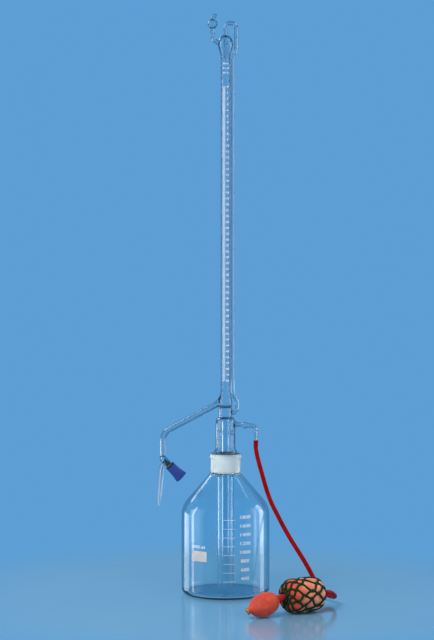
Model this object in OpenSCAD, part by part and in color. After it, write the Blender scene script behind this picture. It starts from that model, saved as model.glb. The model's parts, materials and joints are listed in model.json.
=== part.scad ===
// Automatic burette: a graduated glass tube on a reservoir bottle, filled with a hand pump.
// All sizes are in millimetres. +Z is up, the bottle stands on Z = 0 and its axis is X = Y = 0.
// The scale faces -Y, the delivery jet is on the -X side and the pump lies on the +X side.

/* [Reservoir bottle] */
// Outside diameter of the bottle
bottle_d = 142; // [120:1:170]
// Height of the bottle from its foot to its rim
bottle_h = 225; // [205:1:260]
// Thickness of the bottle's side
bottle_wall = 3; // [2:0.5:5]
// Thickness of the bottle's floor
bottle_floor = 4.5; // [3:0.5:8]
// Outside radius of the heel
heel_r = 10; // [7:1:16]
// Slope of the shoulder above the level
shoulder_slope = 49; // [40:1:56]
// Radius between the side and the shoulder
shoulder_r = 40; // [20:1:50]
// Thickness of the neck at the rim
neck_wall = 5; // [4:0.5:8]

/* [Ground joint] */
// Diameter of the socket at the rim
joint_d = 40; // [38:1:46]
// Length of the ground taper
joint_len = 29; // [25:1:36]
// Length in which the taper's diameter changes by one millimetre
joint_taper = 10; // [8:1:12]
// Thickness of the white joint sleeve
sleeve_t = 0.6; // [0.4:0.1:1]
// Clearance on each face of the joint sleeve
joint_gap = 0.05; // [0.03:0.01:0.1]

/* [Head glass] */
// Outside diameter of the air jacket above the joint
jacket_d = 32; // [28:1:35]
// Height of the air jacket above the rim
jacket_h = 59; // [52:1:75]
// Wall of the jacket, the cone and the guard tube
jacket_wall = 2; // [1.5:0.5:2.5]
// Outside diameter of the guard tube inside the bottle
guard_d = 27; // [24:1:29]
// Outside diameter of the dip tube
dip_d = 13; // [10:0.5:15]
// Bore of the dip tube
dip_bore = 9; // [6:0.5:9.5]
// Gap under the dip tube
dip_clear = 9; // [5:1:20]
// Outside diameter of the filling chamber
chamber_d = 22; // [20:1:24]
// Height of the filling chamber
chamber_h = 15; // [13:1:22]

/* [Measuring tube] */
// Outside diameter of the measuring tube
tube_d = 15.5; // [14:0.5:17]
// Bore of the measuring tube
tube_bore = 11.6; // [10:0.2:12]
// Length from the closed foot to the overflow bulb
tube_len = 565; // [500:5:640]
// Diameter of the bell at the foot of the tube
bell_d = 22; // [20:0.5:24]
// Height of the bell
bell_h = 29; // [26:1:36]
// Diameter of the overflow bulb
bulb_d = 24.5; // [22:0.5:28]
// Height of the overflow bulb
bulb_h = 35.5; // [32:0.5:44]

/* [Filling and vent tubes] */
// Outside diameter of the filling tube
fill_d = 7; // [6:0.5:8]
// Bore of the filling tube
fill_bore = 4; // [3:0.5:4.5]
// Gap between the filling tube and the measuring tube
fill_gap = 0.3; // [0.3:0.1:2]
// Radius of the loop over the overflow bulb
loop_r = 8.5; // [8:0.5:12]
// Distance of the vent from the axis
vent_reach = 20.8; // [19:0.2:26]
// Diameter of the vent's dust bulb
vent_bulb_d = 16; // [14:0.5:20]

/* [Delivery arm and valve] */
// Outside diameter of the delivery arm
arm_d = 10; // [8:0.5:10.5]
// Bore of the delivery arm
arm_bore = 6; // [4:0.5:6.5]
// Distance of the arm's upright leg from the axis
arm_reach = 101; // [90:1:120]
// Slope of the arm below the level
arm_slope = 28; // [20:1:35]
// Height of the arm's upright leg, from its corner to the valve
arm_drop = 41.5; // [36:0.5:60]
// Slope of the valve below the level
valve_slope = 45; // [35:1:55]
// Outside diameter of the valve barrel
barrel_d = 11; // [11:0.5:12]
// Bore of the valve barrel
barrel_bore = 8.1; // [7.5:0.1:8.5]
// Length of the valve barrel
barrel_len = 33; // [30:1:36]
// Clearance of the spindle in the barrel and in the knob
spindle_gap = 0.1; // [0.05:0.01:0.1]
// Diameter of the knob at its mouth
knob_mouth_d = 16; // [15:0.5:18]
// Diameter of the knob at its end
knob_end_d = 21; // [19:0.5:25]
// Number of grip flutes
flutes = 6; // [5:1:10]
// Length of the jet below its bend
jet_len = 59; // [45:1:75]
// Lean of the jet from the upright
jet_lean = 4.5; // [0:0.5:10]

/* [Air inlet] */
// Outside diameter of the air arm
inlet_d = 7; // [6:0.5:8]
// Bore of the air arm
inlet_bore = 3; // [2:0.5:3.5]
// Slope of the air arm below the level
inlet_slope = 5; // [0:1:10]
// Distance of the hose nipple from the axis
inlet_reach = 49; // [46:1:60]
// Diameter of the filter bulb in the air arm
inlet_bulb_d = 11; // [9.5:0.5:13]

/* [Hose and pump] */
// Outside diameter of the hose
hose_d = 7; // [6:0.5:8]
// Clearance of the hose end on the nipple
hose_gap = 0.05; // [0.03:0.01:0.1]
// Diameter of the pressure bulb
pressure_d = 48; // [44:1:56]
// Length of the pressure bulb
pressure_len = 60.5; // [56:0.5:76]
// Thickness of the net cords
net_t = 2; // [1.2:0.2:2.6]
// Gap between the net and the pressure bulb
net_gap = 0.3; // [0.3:0.1:1]
// Width of a net opening as a share of its cell
net_open = 0.74; // [0.6:0.02:0.85]
// Diameter of the hand bulb
hand_d = 36; // [32:0.4:44]
// Length of the hand bulb
hand_len = 51; // [42:1:60]
// Wall of both rubber bulbs
rubber_wall = 2.2; // [1.6:0.2:3]

/* [Part] */
// Sub-part to show

/* [Hidden] */
$fn = 72;

glass = [0.80, 0.90, 0.95, 0.40];
frosted = [0.90, 0.93, 0.95, 0.80];
ptfe = [0.96, 0.96, 0.94];
knob_blue = [0.10, 0.16, 0.55];
black = [0.05, 0.05, 0.05];
hose_red = [0.60, 0.08, 0.05];
bulb_red = [0.82, 0.28, 0.20];
bulb_pink = [0.88, 0.52, 0.44];
net_green = [0.02, 0.26, 0.12];
nickel = [0.75, 0.73, 0.68];

// Bottle
bottle_r = bottle_d / 2;
neck_r = joint_d / 2 + neck_wall;
neck_h = joint_len + 2;
turn = 90 - shoulder_slope;
punt_h = 1.5;
foot_in = bottle_r - heel_r - 14;
rim_bead = 1.5;
root_z = bottle_h - neck_h;
corner_z = root_z - (bottle_r - neck_r) * tan(shoulder_slope);
arc_z = corner_z - shoulder_r * tan(turn / 2);
root_f = 6;
root_t = root_f * tan(turn / 2);
inside_z = corner_z - bottle_wall * tan(turn / 2);

// Ground joint, seen from the socket inwards
socket_low_r = joint_d / 2 - joint_len / joint_taper / 2;
cone_off = 2 * joint_gap + sleeve_t;
cone_r = joint_d / 2 - cone_off;
cone_low_r = socket_low_r - cone_off;
joint_low = bottle_h - joint_len;
flange_t = 1.2;
flange_r = joint_d / 2 + 2.4;
collar_z = bottle_h + joint_gap + flange_t + joint_gap;

// Gap that a seal bead bridges
seal_gap = 0.05;

// Head
jacket_r = jacket_d / 2;
flare_h = 10;
flare_z = bottle_h + flare_h;
seal_z = bottle_h + jacket_h;
chamber_r = chamber_d / 2;
chamber_wall = 1.8;
guard_top = joint_low - 7;
dip_low = bottle_floor + punt_h + dip_clear;
dimple_z = bottle_h + 34;
dimple_tip = dip_d / 2 + 0.3;
bell_z = seal_z + chamber_h;
bell_r = bell_d / 2;
tube_r = tube_d / 2;
tube_wall = (tube_d - tube_bore) / 2;
bulb_z = bell_z + tube_len;
bulb_mid = bulb_z + 0.586 * bulb_h;
bulb_top = bulb_z + bulb_h;
bulb_r = bulb_d / 2;
bulb_wall = 1.6;
fill_r = fill_d / 2;

// Filling tube: a quarter bend at the chamber, an S-bend to the tube, an S-bend out and the loop
fill_z = seal_z + chamber_h / 2;
fill_out = 18.6;
fill_in = tube_r + fill_gap + fill_r;
root_bend = 6.5;
fill_rest = 8;
bend_a = 30;
lower_off = fill_out - fill_in;
upper_off = 2 * loop_r - fill_in;
lower_rise = s_rise(lower_off);
upper_rise = s_rise(upper_off);
lower_end = fill_z + root_bend + fill_rest + lower_rise;
upper_start = bulb_z - 4;
loop_z = bulb_top + 12;

// Vent
vent_slope = 36;
vent_z = bulb_mid - 5.5;
vent_bend = 8;
vent_t = vent_bend * tan((90 - vent_slope) / 2);
vent_corner = vent_z + vent_reach * tan(vent_slope);
vent_ball = vent_corner + vent_t + 12 + vent_bulb_d / 2;
vent_top = vent_ball + vent_bulb_d / 2 - 0.6;

// Delivery arm and valve
arm_z = bell_z + 13.4;
arm_bend = 20;
arm_t = arm_bend * tan((90 - arm_slope) / 2);
arm_corner = arm_z - arm_reach * tan(arm_slope);
valve_z = arm_corner - arm_drop;
barrel_r = barrel_d / 2;
bore_r = barrel_bore / 2;
seat_low = 1.8;
seat_r = 1.5;
jet_z = 8;
jet_d = 8.4;
jet_bend = 10;
jet_turn = 90 - valve_slope - jet_lean;
ring_low = 14.8;
ring_t = 3;
knob_low = ring_low + ring_t + 0.3;
web_low = barrel_len + 2;
web_t = 2;
head_low = web_low + web_t + 0.3;
head_h = 2.8;
knob_high = head_low + head_h + 3.4;
knob_bore = barrel_r + 0.4;
neck_pin_r = 2.5;

// Air inlet
inlet_r = inlet_d / 2;
inlet_z = bottle_h + 48.9;
inlet_bend = 7;
inlet_turn = 90 - inlet_slope;
inlet_t = inlet_bend * tan(inlet_turn / 2);
inlet_run = inlet_reach / cos(inlet_slope) - inlet_t;
inlet_bulb_at = 31.5;
inlet_bulb_half = 6.5;
nipple_top = inlet_z - inlet_reach * tan(inlet_slope) - inlet_t;
nipple_step = nipple_top - 12.5;
hose_top = nipple_step - 4;
nipple_end = hose_top - 12;
nipple_r = 2.5;
nipple_swell = inlet_r + 1.1;

// Pump: both bulbs lie on the table, the hand bulb hangs down from the link between them
pump_turn = 32;
pressure_r = pressure_d / 2;
pressure_half = pressure_len / 2;
net_r = pressure_r + net_gap + net_t;
pressure_at = [115.25, -157.7, net_r];
link_at = -pressure_half - 5;
hand_r = hand_d / 2;
hand_half = hand_len / 2;
hand_at = hand_half + 9.5;
hand_q = hand_at * hand_at - hand_half * hand_half + hand_r * hand_r;
hand_p = net_r * hand_at;
hand_dip = asin((hand_p - sqrt(hand_p * hand_p - hand_q * (net_r * net_r - hand_r * hand_r))) / hand_q);
link_r = 4.75;
link_bore = 3.2;
neck_end_r = 6.3;
hose_neck = 7;
bulb_port_r = 2;
inlet_at = -hand_at - hand_half;

// Route of the hose from the nipple to the pressure bulb
hose_r = hose_d / 2;
hose_stretch = 0.3;
hose_last = pressure_half + 1;
hose_route = [
    [inlet_reach, 0, nipple_end - 1],
    [51.5, -1.5, 220],
    [55.5, -4.5, 205],
    [60.5, -8, 187],
    [66, -11.5, 168],
    [73, -16, 149],
    [82, -22.5, 131],
    [92, -29, 112],
    [102.5, -36.5, 94],
    [114, -44, 76],
    [125.5, -52, 58],
    [135, -58.5, 41],
    [142, -63, 27.5],
    [148.5, -67.5, 18.5],
    [155.5, -73.5, 13],
    [162, -81, 10.8],
    [166.5, -89.5, 11],
    [168.5, -98.5, 13],
    [167.5, -107.5, 16.3],
    [164, -116, 20.3],
    [159, -124.5, 24],
    [153, -132.3, 25.6],
    pump_point(pressure_half + hose_neck),
    pump_point(hose_last)
];

function pump_point(along) = [
    pressure_at[0] + along * cos(pump_turn),
    pressure_at[1] + along * sin(pump_turn),
    pressure_at[2]
];

function arc(centre, r, from, to, steps) = [
    for (i = [0 : steps])
        let (a = from + (to - from) * i / steps)
        [centre[0] + r * cos(a), centre[1] + r * sin(a)]
];

// Points of a smooth change of radius between two heights
function ease(r1, z1, r2, z2, steps) = [
    for (i = [0 : steps])
        let (t = i / steps)
        [r1 + (r2 - r1) * (1 - cos(180 * t)) / 2, z1 + (z2 - z1) * t]
];

// Points of a quarter of an ellipse from an upright side to a level top
function dome(r1, z1, r2, z2, steps) = [
    for (i = [0 : steps])
        let (a = 90 * i / steps)
        [r2 + (r1 - r2) * cos(a), z1 + (z2 - z1) * sin(a)]
];

// Radius, straight middle and rise of an S-bend that shifts a tube sideways
function s_radius(off) = 0.35 * off / (1 - cos(bend_a));
function s_middle(off) = 0.3 * off / sin(bend_a);
function s_rise(off) = 2 * s_radius(off) * sin(bend_a) + s_middle(off) * cos(bend_a);

function turned(points) = [for (i = [len(points) - 1 : -1 : 0]) points[i]];
function unit(v) = v / norm(v);

module lathe(points) {
    rotate_extrude() polygon(points);
}

module pipe(length, od, bore) {
    difference() {
        cylinder(d = od, h = length);
        translate([0, 0, -1]) cylinder(d = bore, h = length + 2);
    }
}

module pipe_bend(angle, bend_r, od, bore) {
    translate([bend_r, 0, 0])
        rotate([90, 0, 180])
            rotate_extrude(angle = angle)
                translate([bend_r, 0])
                    difference() {
                        circle(d = od);
                        circle(d = bore);
                    }
}

// A glass tube that leaves along +Z: each step is a straight run, a turn towards +X and its radius.
// A fine seal bead joins each bend to what follows it. Children start where the last bend ends.
module bent_tube(steps, od, bore, i = 0) {
    lead = i > 0 ? seal_gap : 0;
    if (i > 0)
        translate([0, 0, -3 * seal_gap])
            pipe(6 * seal_gap, od + seal_gap, bore - seal_gap);
    if (i == len(steps))
        children();
    else {
        run = steps[i][0];
        angle = abs(steps[i][1]);
        bend_r = steps[i][2];
        side = steps[i][1] < 0 ? 180 : 0;
        translate([0, 0, lead])
            pipe(run - lead, od, bore);
        if (angle > 0)
            translate([0, 0, run])
                rotate(side) {
                    pipe_bend(angle, bend_r, od, bore);
                    translate([bend_r * (1 - cos(angle)), 0, bend_r * sin(angle)])
                        rotate([0, angle, 0])
                            rotate(-side)
                                bent_tube(steps, od, bore, i + 1)
                                    children();
                }
    }
}

// Bottle with a ground socket in its neck
module reservoir_bottle() {
    outside = concat(
        [[0, punt_h], [foot_in, 0]],
        arc([bottle_r - heel_r, heel_r], heel_r, -90, 0, 8),
        arc([bottle_r - shoulder_r, arc_z], shoulder_r, 0, turn, 8),
        arc([neck_r + root_f, root_z + root_t], root_f, 180 + turn, 180, 5),
        [
            [neck_r, bottle_h - 8],
            [neck_r + rim_bead, bottle_h - 5.5],
            [neck_r + rim_bead, bottle_h - 1],
            [neck_r + rim_bead - 1, bottle_h]
        ]
    );
    low_r = socket_low_r + 2;
    inside = concat(
        [
            [joint_d / 2, bottle_h],
            [socket_low_r, joint_low],
            [low_r, inside_z + (bottle_r - bottle_wall - low_r) * tan(shoulder_slope)]
        ],
        arc([bottle_r - shoulder_r, arc_z], shoulder_r - bottle_wall, turn, 0, 8),
        arc([bottle_r - heel_r, bottle_floor + heel_r - bottle_wall], heel_r - bottle_wall, 0, -90, 6),
        [[foot_in, bottle_floor], [0, bottle_floor + punt_h]]
    );
    color(glass) lathe(concat(outside, inside));
}

// Thin white sleeve that lines the ground joint, with a grip ring on the rim
module joint_sleeve() {
    top = bottle_h + joint_gap;
    out_r = joint_d / 2 - joint_gap;
    out_low = socket_low_r - joint_gap;
    color(ptfe)
        lathe([
            [out_low - sleeve_t, joint_low],
            [out_low, joint_low],
            [out_r, bottle_h],
            [out_r, top],
            [flange_r, top],
            [flange_r, top + flange_t],
            [out_r - sleeve_t, top + flange_t],
            [out_r - sleeve_t, bottle_h]
        ]);
}

// Hollow ground cone between the air jacket and the guard tube
module ground_cone() {
    color(frosted)
        lathe(concat(
            [[guard_d / 2, guard_top], [cone_low_r, joint_low], [cone_r, bottle_h]],
            [[cone_r, collar_z]],
            ease(cone_r, collar_z + 0.5, jacket_r, flare_z, 6),
            ease(jacket_r - jacket_wall, flare_z, cone_r - jacket_wall, collar_z, 6),
            [[cone_r - jacket_wall, bottle_h], [cone_low_r - jacket_wall, joint_low + 0.5]],
            [[guard_d / 2 - jacket_wall, guard_top]]
        ));
}

jacket_bend = seal_z - 10;
jacket_outside = concat(
    [[jacket_r, flare_z]],
    dome(jacket_r, jacket_bend, chamber_r, seal_z, 6)
);

// Air jacket, closed at the top around the dip tube and pinched in at two sides to steady it
module jacket_tube() {
    pinch_r = 5;
    color(glass)
        difference() {
            union() {
                lathe(concat(
                    jacket_outside,
                    [[dip_d / 2, seal_z], [dip_d / 2, seal_z - jacket_wall]],
                    turned(dome(jacket_r - jacket_wall, jacket_bend, chamber_r - 1, seal_z - jacket_wall, 6)),
                    [[jacket_r - jacket_wall, flare_z]]
                ));
                for (side = [0, 180])
                    rotate(side)
                        translate([dimple_tip, 0, dimple_z])
                            rotate([0, 90, 0])
                                cylinder(r1 = 2.2, r2 = pinch_r, h = jacket_r - jacket_wall / 2 - dimple_tip);
            }
            for (side = [0, 180])
                rotate(side)
                    translate([dimple_tip + 1.5, 0, dimple_z])
                        rotate([0, 90, 0])
                            cylinder(r1 = 0.8, r2 = pinch_r - 1, h = jacket_r - dimple_tip);
            at_inlet() cylinder(d = inlet_bore, h = jacket_r + 4);
        }
}

// Guard tube around the dip tube, with a port that lets air into the bottle
module guard_tube() {
    color(glass)
        difference() {
            translate([0, 0, dip_low - 2])
                pipe(guard_top - dip_low + 2, guard_d, guard_d - 2 * jacket_wall);
            translate([0, 0, guard_top - 9])
                rotate([-90, 0, 0])
                    cylinder(d = 6, h = guard_d);
        }
}

module dip_tube() {
    color(glass)
        translate([0, 0, dip_low])
            pipe(seal_z - dip_low, dip_d, dip_bore);
}

module filling_chamber() {
    color(glass)
        difference() {
            translate([0, 0, seal_z])
                pipe(chamber_h, chamber_d, chamber_d - 2 * chamber_wall);
            translate([0, 0, fill_z])
                rotate([0, 90, 0])
                    cylinder(d = fill_bore, h = chamber_d);
        }
}

bell_outside = concat(
    [[0, bell_z]],
    arc([bell_r - 4, bell_z + 4], 4, -90, 0, 5),
    ease(bell_r, bell_z + 8, tube_r, bell_z + bell_h, 8)
);

// Measuring tube, closed below by a bell that feeds the delivery arm
module measuring_tube() {
    inner = bell_r - tube_wall;
    color(glass)
        difference() {
            lathe(concat(
                bell_outside,
                [[tube_r, bulb_z], [tube_bore / 2, bulb_z]],
                ease(tube_bore / 2, bell_z + bell_h, inner, bell_z + 8, 8),
                arc([inner - 3, bell_z + tube_wall + 3], 3, 0, -90, 4),
                [[0, bell_z + tube_wall]]
            ));
            at_arm() cylinder(d = arm_bore, h = bell_d);
        }
}

bulb_outside = concat(
    ease(tube_r, bulb_z, bulb_r, bulb_mid, 7),
    dome(bulb_r, bulb_mid + 0.5, fill_r, bulb_top, 8)
);

// Bulb that catches what overflows from the zero tip
module overflow_bulb() {
    color(glass)
        difference() {
            lathe(concat(
                bulb_outside,
                [[fill_bore / 2, bulb_top], [fill_bore / 2, bulb_top - bulb_wall]],
                turned(dome(bulb_r - bulb_wall, bulb_mid + 0.5, fill_r, bulb_top - bulb_wall, 8)),
                ease(bulb_r - bulb_wall, bulb_mid, tube_bore / 2, bulb_z, 7)
            ));
            at_vent() cylinder(d = fill_bore, h = bulb_d);
        }
}

// Fine tip that sets the zero of the scale
module zero_tip() {
    top = bulb_top - bulb_wall;
    low = bulb_z - 3;
    color(glass)
        lathe([
            [fill_bore / 2, top],
            [fill_bore / 2 + 0.9, top],
            [fill_bore / 2 + 0.7, low + 9],
            [1.3, low],
            [0.7, low],
            [fill_bore / 2 - 0.2, low + 9]
        ]);
}

// Filling tube from the chamber up beside the scale and over into the bulb
module filling_tube() {
    start = chamber_r - 2;
    color(glass)
        difference() {
            translate([start, 0, fill_z])
                rotate([0, 90, 0])
                    bent_tube([
                        [fill_out - root_bend - start, -90, root_bend],
                        [fill_rest, -bend_a, s_radius(lower_off)],
                        [s_middle(lower_off), bend_a, s_radius(lower_off)],
                        [upper_start - lower_end, bend_a, s_radius(upper_off)],
                        [s_middle(upper_off), -bend_a, s_radius(upper_off)],
                        [loop_z - upper_start - upper_rise, -180, loop_r],
                        [loop_z - bulb_top, 0, 0]
                    ], fill_d, fill_bore);
            translate([0, 0, fill_z - 10])
                cylinder(r = chamber_r, h = 20);
        }
}

module at_vent() {
    translate([0, 0, vent_z])
        rotate([0, vent_slope - 90, 0])
            children();
}

module vent_tube() {
    color(glass)
        difference() {
            at_vent()
                bent_tube([
                    [vent_reach / cos(vent_slope) - vent_t, 90 - vent_slope, vent_bend],
                    [12, 0, 0]
                ], fill_d, fill_bore);
            lathe(concat(bulb_outside, [[0, bulb_top], [0, bulb_z]]));
        }
}

// Small bulb that keeps dust out of the vent
module vent_bulb() {
    r = vent_bulb_d / 2;
    low = asin(fill_r / r);
    inner = r - 1.3;
    inner_low = asin(fill_bore / 2 / inner);
    top_a = asin(3 / r);
    inner_top = asin(1.75 / inner);
    color(glass)
        translate([-vent_reach, 0, vent_ball])
            lathe(concat(
                [[fill_r, -r]],
                arc([0, 0], r, -90 + low, 90 - top_a, 12),
                [[3, r - 0.6], [1.75, r - 0.6]],
                arc([0, 0], inner, 90 - inner_top, -90 + inner_low, 12),
                [[fill_bore / 2, -r]]
            ));
}

module vent_tip() {
    color(glass)
        translate([-vent_reach, 0, vent_top])
            bent_tube([[1.6, 110, 4], [1.5, 0, 0]], 6, 3.5);
}

module at_arm() {
    translate([0, 0, arm_z])
        rotate([0, -90 - arm_slope, 0])
            children();
}

module at_valve() {
    translate([-arm_reach, 0, valve_z])
        rotate([0, 90 + valve_slope, 0])
            children();
}

barrel_outside = concat(
    arc([0, 0], barrel_r, -90, 0, 8),
    [[barrel_r, barrel_len]]
);

module barrel_blank() {
    at_valve() lathe(concat(barrel_outside, [[0, barrel_len]]));
}

// Roots of the side arms
root_sink = 4;
root_flare = 1.6;
root_skin = 0.15;
root_lap = 1;
arm_root_len = 13;
inlet_root_len = 11;

// Widening of a side arm towards the wall that it is sealed to
module flared_root(start, length, od, bore, extra) {
    lathe(concat(
        ease(od / 2 + extra, start, od / 2, start + length, 6),
        [[bore / 2, start + length], [bore / 2, start]]
    ));
}

// Smooth rise of the arm's upper side into the tube above the bell
module arm_fillet() {
    turn = 90 - arm_slope;
    inside = (tube_d - arm_d) / 2;
    corner_z = arm_z - inside * tan(arm_slope);
    top_z = bell_z + bell_h - root_lap;
    fillet_r = (top_z - corner_z) / tan(turn / 2);
    difference() {
        translate([-inside - fillet_r, 0, top_z])
            rotate([-90, 0, 0])
                rotate_extrude(angle = turn)
                    translate([fillet_r, 0])
                        circle(d = arm_d - 2 * root_skin);
        at_arm() cylinder(d = (arm_d + arm_bore) / 2, h = arm_reach);
    }
}

// Arm that leads from the bell down to the valve
module delivery_arm() {
    color(glass)
        difference() {
            union() {
                at_arm() {
                    bent_tube([
                        [arm_reach / cos(arm_slope) - arm_t, -(90 - arm_slope), arm_bend],
                        [arm_drop - arm_t, 0, 0]
                    ], arm_d, arm_bore);
                    flared_root(bell_r - root_sink, arm_root_len, arm_d, arm_bore, root_flare);
                }
                arm_fillet();
            }
            lathe(concat(bell_outside, [[0, bell_z + bell_h]]));
            barrel_blank();
        }
}

// Glass barrel of the valve, with the seat at its closed end
module valve_barrel() {
    color(glass)
        difference() {
            at_valve()
                lathe(concat(
                    barrel_outside,
                    [
                        [bore_r, barrel_len],
                        [bore_r, seat_low + bore_r - seat_r],
                        [seat_r, seat_low],
                        [seat_r, 0],
                        [0, 0]
                    ]
                ));
            translate([-arm_reach, 0, valve_z]) cylinder(r = 2, h = barrel_d);
            at_jet() cylinder(d = 2.6, h = barrel_d);
        }
}

module at_jet() {
    at_valve()
        translate([0, 0, jet_z])
            rotate([0, 90, 0])
                children();
}

// Jet that leaves the barrel square to it, bends down and narrows to its tip
module jet_tip() {
    taper = 13;
    color(glass)
        difference() {
            at_jet()
                bent_tube([[6.9, -jet_turn, jet_bend]], jet_d, 2.6)
                    lathe([
                        [1.3, seal_gap],
                        [jet_d / 2, seal_gap],
                        [jet_d / 2 - 0.6, jet_len - taper],
                        [1.5, jet_len],
                        [0.6, jet_len],
                        [1.3, jet_len - taper]
                    ]);
            barrel_blank();
        }
}

module stop_ring() {
    r = knob_mouth_d / 2;
    color(black)
        at_valve()
            lathe([
                [barrel_r, ring_low],
                [r - 0.6, ring_low],
                [r, ring_low + 0.6],
                [r, ring_low + ring_t - 0.6],
                [r - 0.6, ring_low + ring_t],
                [barrel_r, ring_low + ring_t]
            ]);
}

spindle_r = bore_r - spindle_gap;
groove_at = [10.5, 13.6];
groove_r = 0.9;
ring_mid_r = bore_r - 0.05 - groove_r;

// White spindle: a nose on the seat, two grooves for rings and a head that the knob holds
module valve_spindle() {
    nose = seat_low + 0.1 * sqrt(2);
    nose_r = 2.6;
    color(ptfe)
        at_valve()
            lathe(concat(
                [
                    [0, nose - 0.4],
                    [seat_r - 0.4, nose - 0.4],
                    [nose_r, nose + nose_r - seat_r],
                    [nose_r, 8.4],
                    [spindle_r, 9.2]
                ],
                [
                    for (z = groove_at)
                        each [
                            [spindle_r, z - groove_r],
                            [ring_mid_r - groove_r, z - groove_r],
                            [ring_mid_r - groove_r, z + groove_r],
                            [spindle_r, z + groove_r]
                        ]
                ],
                [
                    [spindle_r, web_low - 0.3],
                    [neck_pin_r, web_low - 0.3],
                    [neck_pin_r, head_low],
                    [neck_pin_r + 1, head_low],
                    [neck_pin_r + 1, head_low + head_h - 0.3],
                    [0, head_low + head_h - 0.3]
                ]
            ));
}

module spindle_o_rings() {
    color(black)
        at_valve()
            for (z = groove_at)
                translate([0, 0, z])
                    rotate_extrude()
                        translate([ring_mid_r, 0])
                            circle(r = groove_r);
}

// Blue knob with a flared, fluted grip; it turns on the spindle's head
module valve_knob() {
    mouth_r = knob_mouth_d / 2;
    end_r = knob_end_d / 2;
    length = knob_high - knob_low;
    flute_r = 4;
    color(knob_blue)
        at_valve()
            difference() {
                lathe(concat(
                    [[knob_bore, knob_low], [mouth_r - 0.6, knob_low]],
                    [
                        for (i = [0 : 8])
                            let (t = i / 8)
                            [mouth_r + (end_r - mouth_r) * t * t, knob_low + 0.6 + (length - 2.2) * t]
                    ],
                    [
                        [end_r - 1.6, knob_high],
                        [0, knob_high],
                        [0, head_low + head_h],
                        [neck_pin_r + 1.3, head_low + head_h],
                        [neck_pin_r + 1.3, web_low + web_t],
                        [neck_pin_r + spindle_gap, web_low + web_t],
                        [neck_pin_r + spindle_gap, web_low],
                        [knob_bore, web_low]
                    ]
                ));
                for (i = [0 : flutes - 1])
                    rotate(i * 360 / flutes + 30)
                        translate([end_r - 1.9 + flute_r, 0, knob_low - 1])
                            cylinder(r = flute_r, h = length + 2);
            }
}

module at_inlet() {
    translate([0, 0, inlet_z])
        rotate([0, 90 + inlet_slope, 0])
            children();
}

// Air arm in three pieces: the stub on the jacket, the filter bulb and the elbow with its nipple
module air_arm() {
    color(glass)
        difference() {
            at_inlet() {
                pipe(inlet_bulb_at - inlet_bulb_half, inlet_d, inlet_bore);
                flared_root(jacket_r - root_sink, inlet_root_len, inlet_d, inlet_bore, root_flare);
            }
            lathe(concat(jacket_outside, [[0, seal_z], [0, flare_z]]));
        }
}

module inlet_bulb() {
    h = inlet_bulb_half;
    r = inlet_bulb_d / 2;
    color(glass)
        at_inlet()
            translate([0, 0, inlet_bulb_at])
                lathe(concat(
                    ease(inlet_r, -h, r, -0.3, 6),
                    ease(r, 0.3, inlet_r, h, 6),
                    ease(inlet_bore / 2, h, r - 1.3, 0.3, 6),
                    ease(r - 1.3, -0.3, inlet_bore / 2, -h, 6)
                ));
}

module hose_nipple() {
    start = inlet_bulb_at + inlet_bulb_half;
    color(glass)
        at_inlet()
            translate([0, 0, start])
                bent_tube([[inlet_run - start, inlet_turn, inlet_bend]], inlet_d, inlet_bore)
                    lathe([
                        [inlet_bore / 2, seal_gap],
                        [inlet_r, seal_gap],
                        [nipple_swell, 2.5],
                        [nipple_r + 0.6, nipple_top - nipple_step],
                        [nipple_r, nipple_top - hose_top],
                        [nipple_r, nipple_top - nipple_end],
                        [inlet_bore / 2, nipple_top - nipple_end]
                    ]);
}

// Rings of points along a route, carried along without twist
function route_way(route) = [
    for (i = [0 : len(route) - 1])
        unit(route[min(i + 1, len(route) - 1)] - route[max(i - 1, 0)])
];

function route_side(way) = [
    for (
        i = 0, side = unit(cross(way[0], [0, 1, 0]));
        i < len(way);
        i = i + 1,
        side = i < len(way) ? unit(side - (side * way[i]) * way[i]) : side
    ) side
];

module swept(route, r, sides) {
    way = route_way(route);
    side = route_side(way);
    last = len(route) - 1;
    points = [
        for (i = [0 : last], k = [0 : sides - 1])
            let (a = 360 * k / sides)
            route[i] + r * (cos(a) * side[i] + sin(a) * cross(way[i], side[i]))
    ];
    walls = [
        for (i = [0 : last - 1], k = [0 : sides - 1])
            let (n = (k + 1) % sides, p = i * sides, q = p + sides)
            each [[p + k, q + n, p + n], [p + k, q + k, q + n]]
    ];
    ends = [
        for (k = [1 : sides - 2])
            each [[0, k, k + 1], [last * sides, last * sides + k + 1, last * sides + k]]
    ];
    polyhedron(points, concat(walls, ends));
}

// Red hose: its upper end is stretched over the nipple
module hose() {
    color(hose_red) {
        translate([inlet_reach, 0, 0])
            lathe([
                [0, nipple_end - 3],
                [hose_r, nipple_end - 3],
                [hose_r + hose_stretch, nipple_end],
                [hose_r + hose_stretch, hose_top],
                [nipple_r + hose_gap, hose_top],
                [nipple_r + hose_gap, nipple_end - 0.3],
                [0, nipple_end - 0.3]
            ]);
        swept(hose_route, hose_r, 10);
    }
}

// Frame of the pressure bulb: +Z runs along its axis from the link to the hose
module at_pressure() {
    translate(pressure_at)
        rotate([0, 90, pump_turn])
            children();
}

// Frame of the hand bulb: the link's middle is its origin and +Z points at the link
module at_hand() {
    translate(pump_point(link_at))
        rotate([0, 90 - hand_dip, pump_turn])
            children();
}

// Side of the pressure bulb, a barrel with rounded ends: radius and height at an angle from its middle
barrel_power = 5;
function barrel_side(half, r, a) =
    let (across = pow(abs(cos(a)) / r, barrel_power))
    let (along = pow(abs(sin(a)) / half, barrel_power))
    let (reach = pow(across + along, -1 / barrel_power))
    [reach * cos(a), reach * sin(a)];
function barrel_arc(half, r, from, to, steps) = [
    for (i = [0 : steps]) barrel_side(half, r, from + (to - from) * i / steps)
];

// Angle at which a barrel narrows to the radius of a neck
function neck_angle(half, r, neck) =
    atan2(half * pow(1 - pow(neck / r, barrel_power), 1 / barrel_power), neck);

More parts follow.
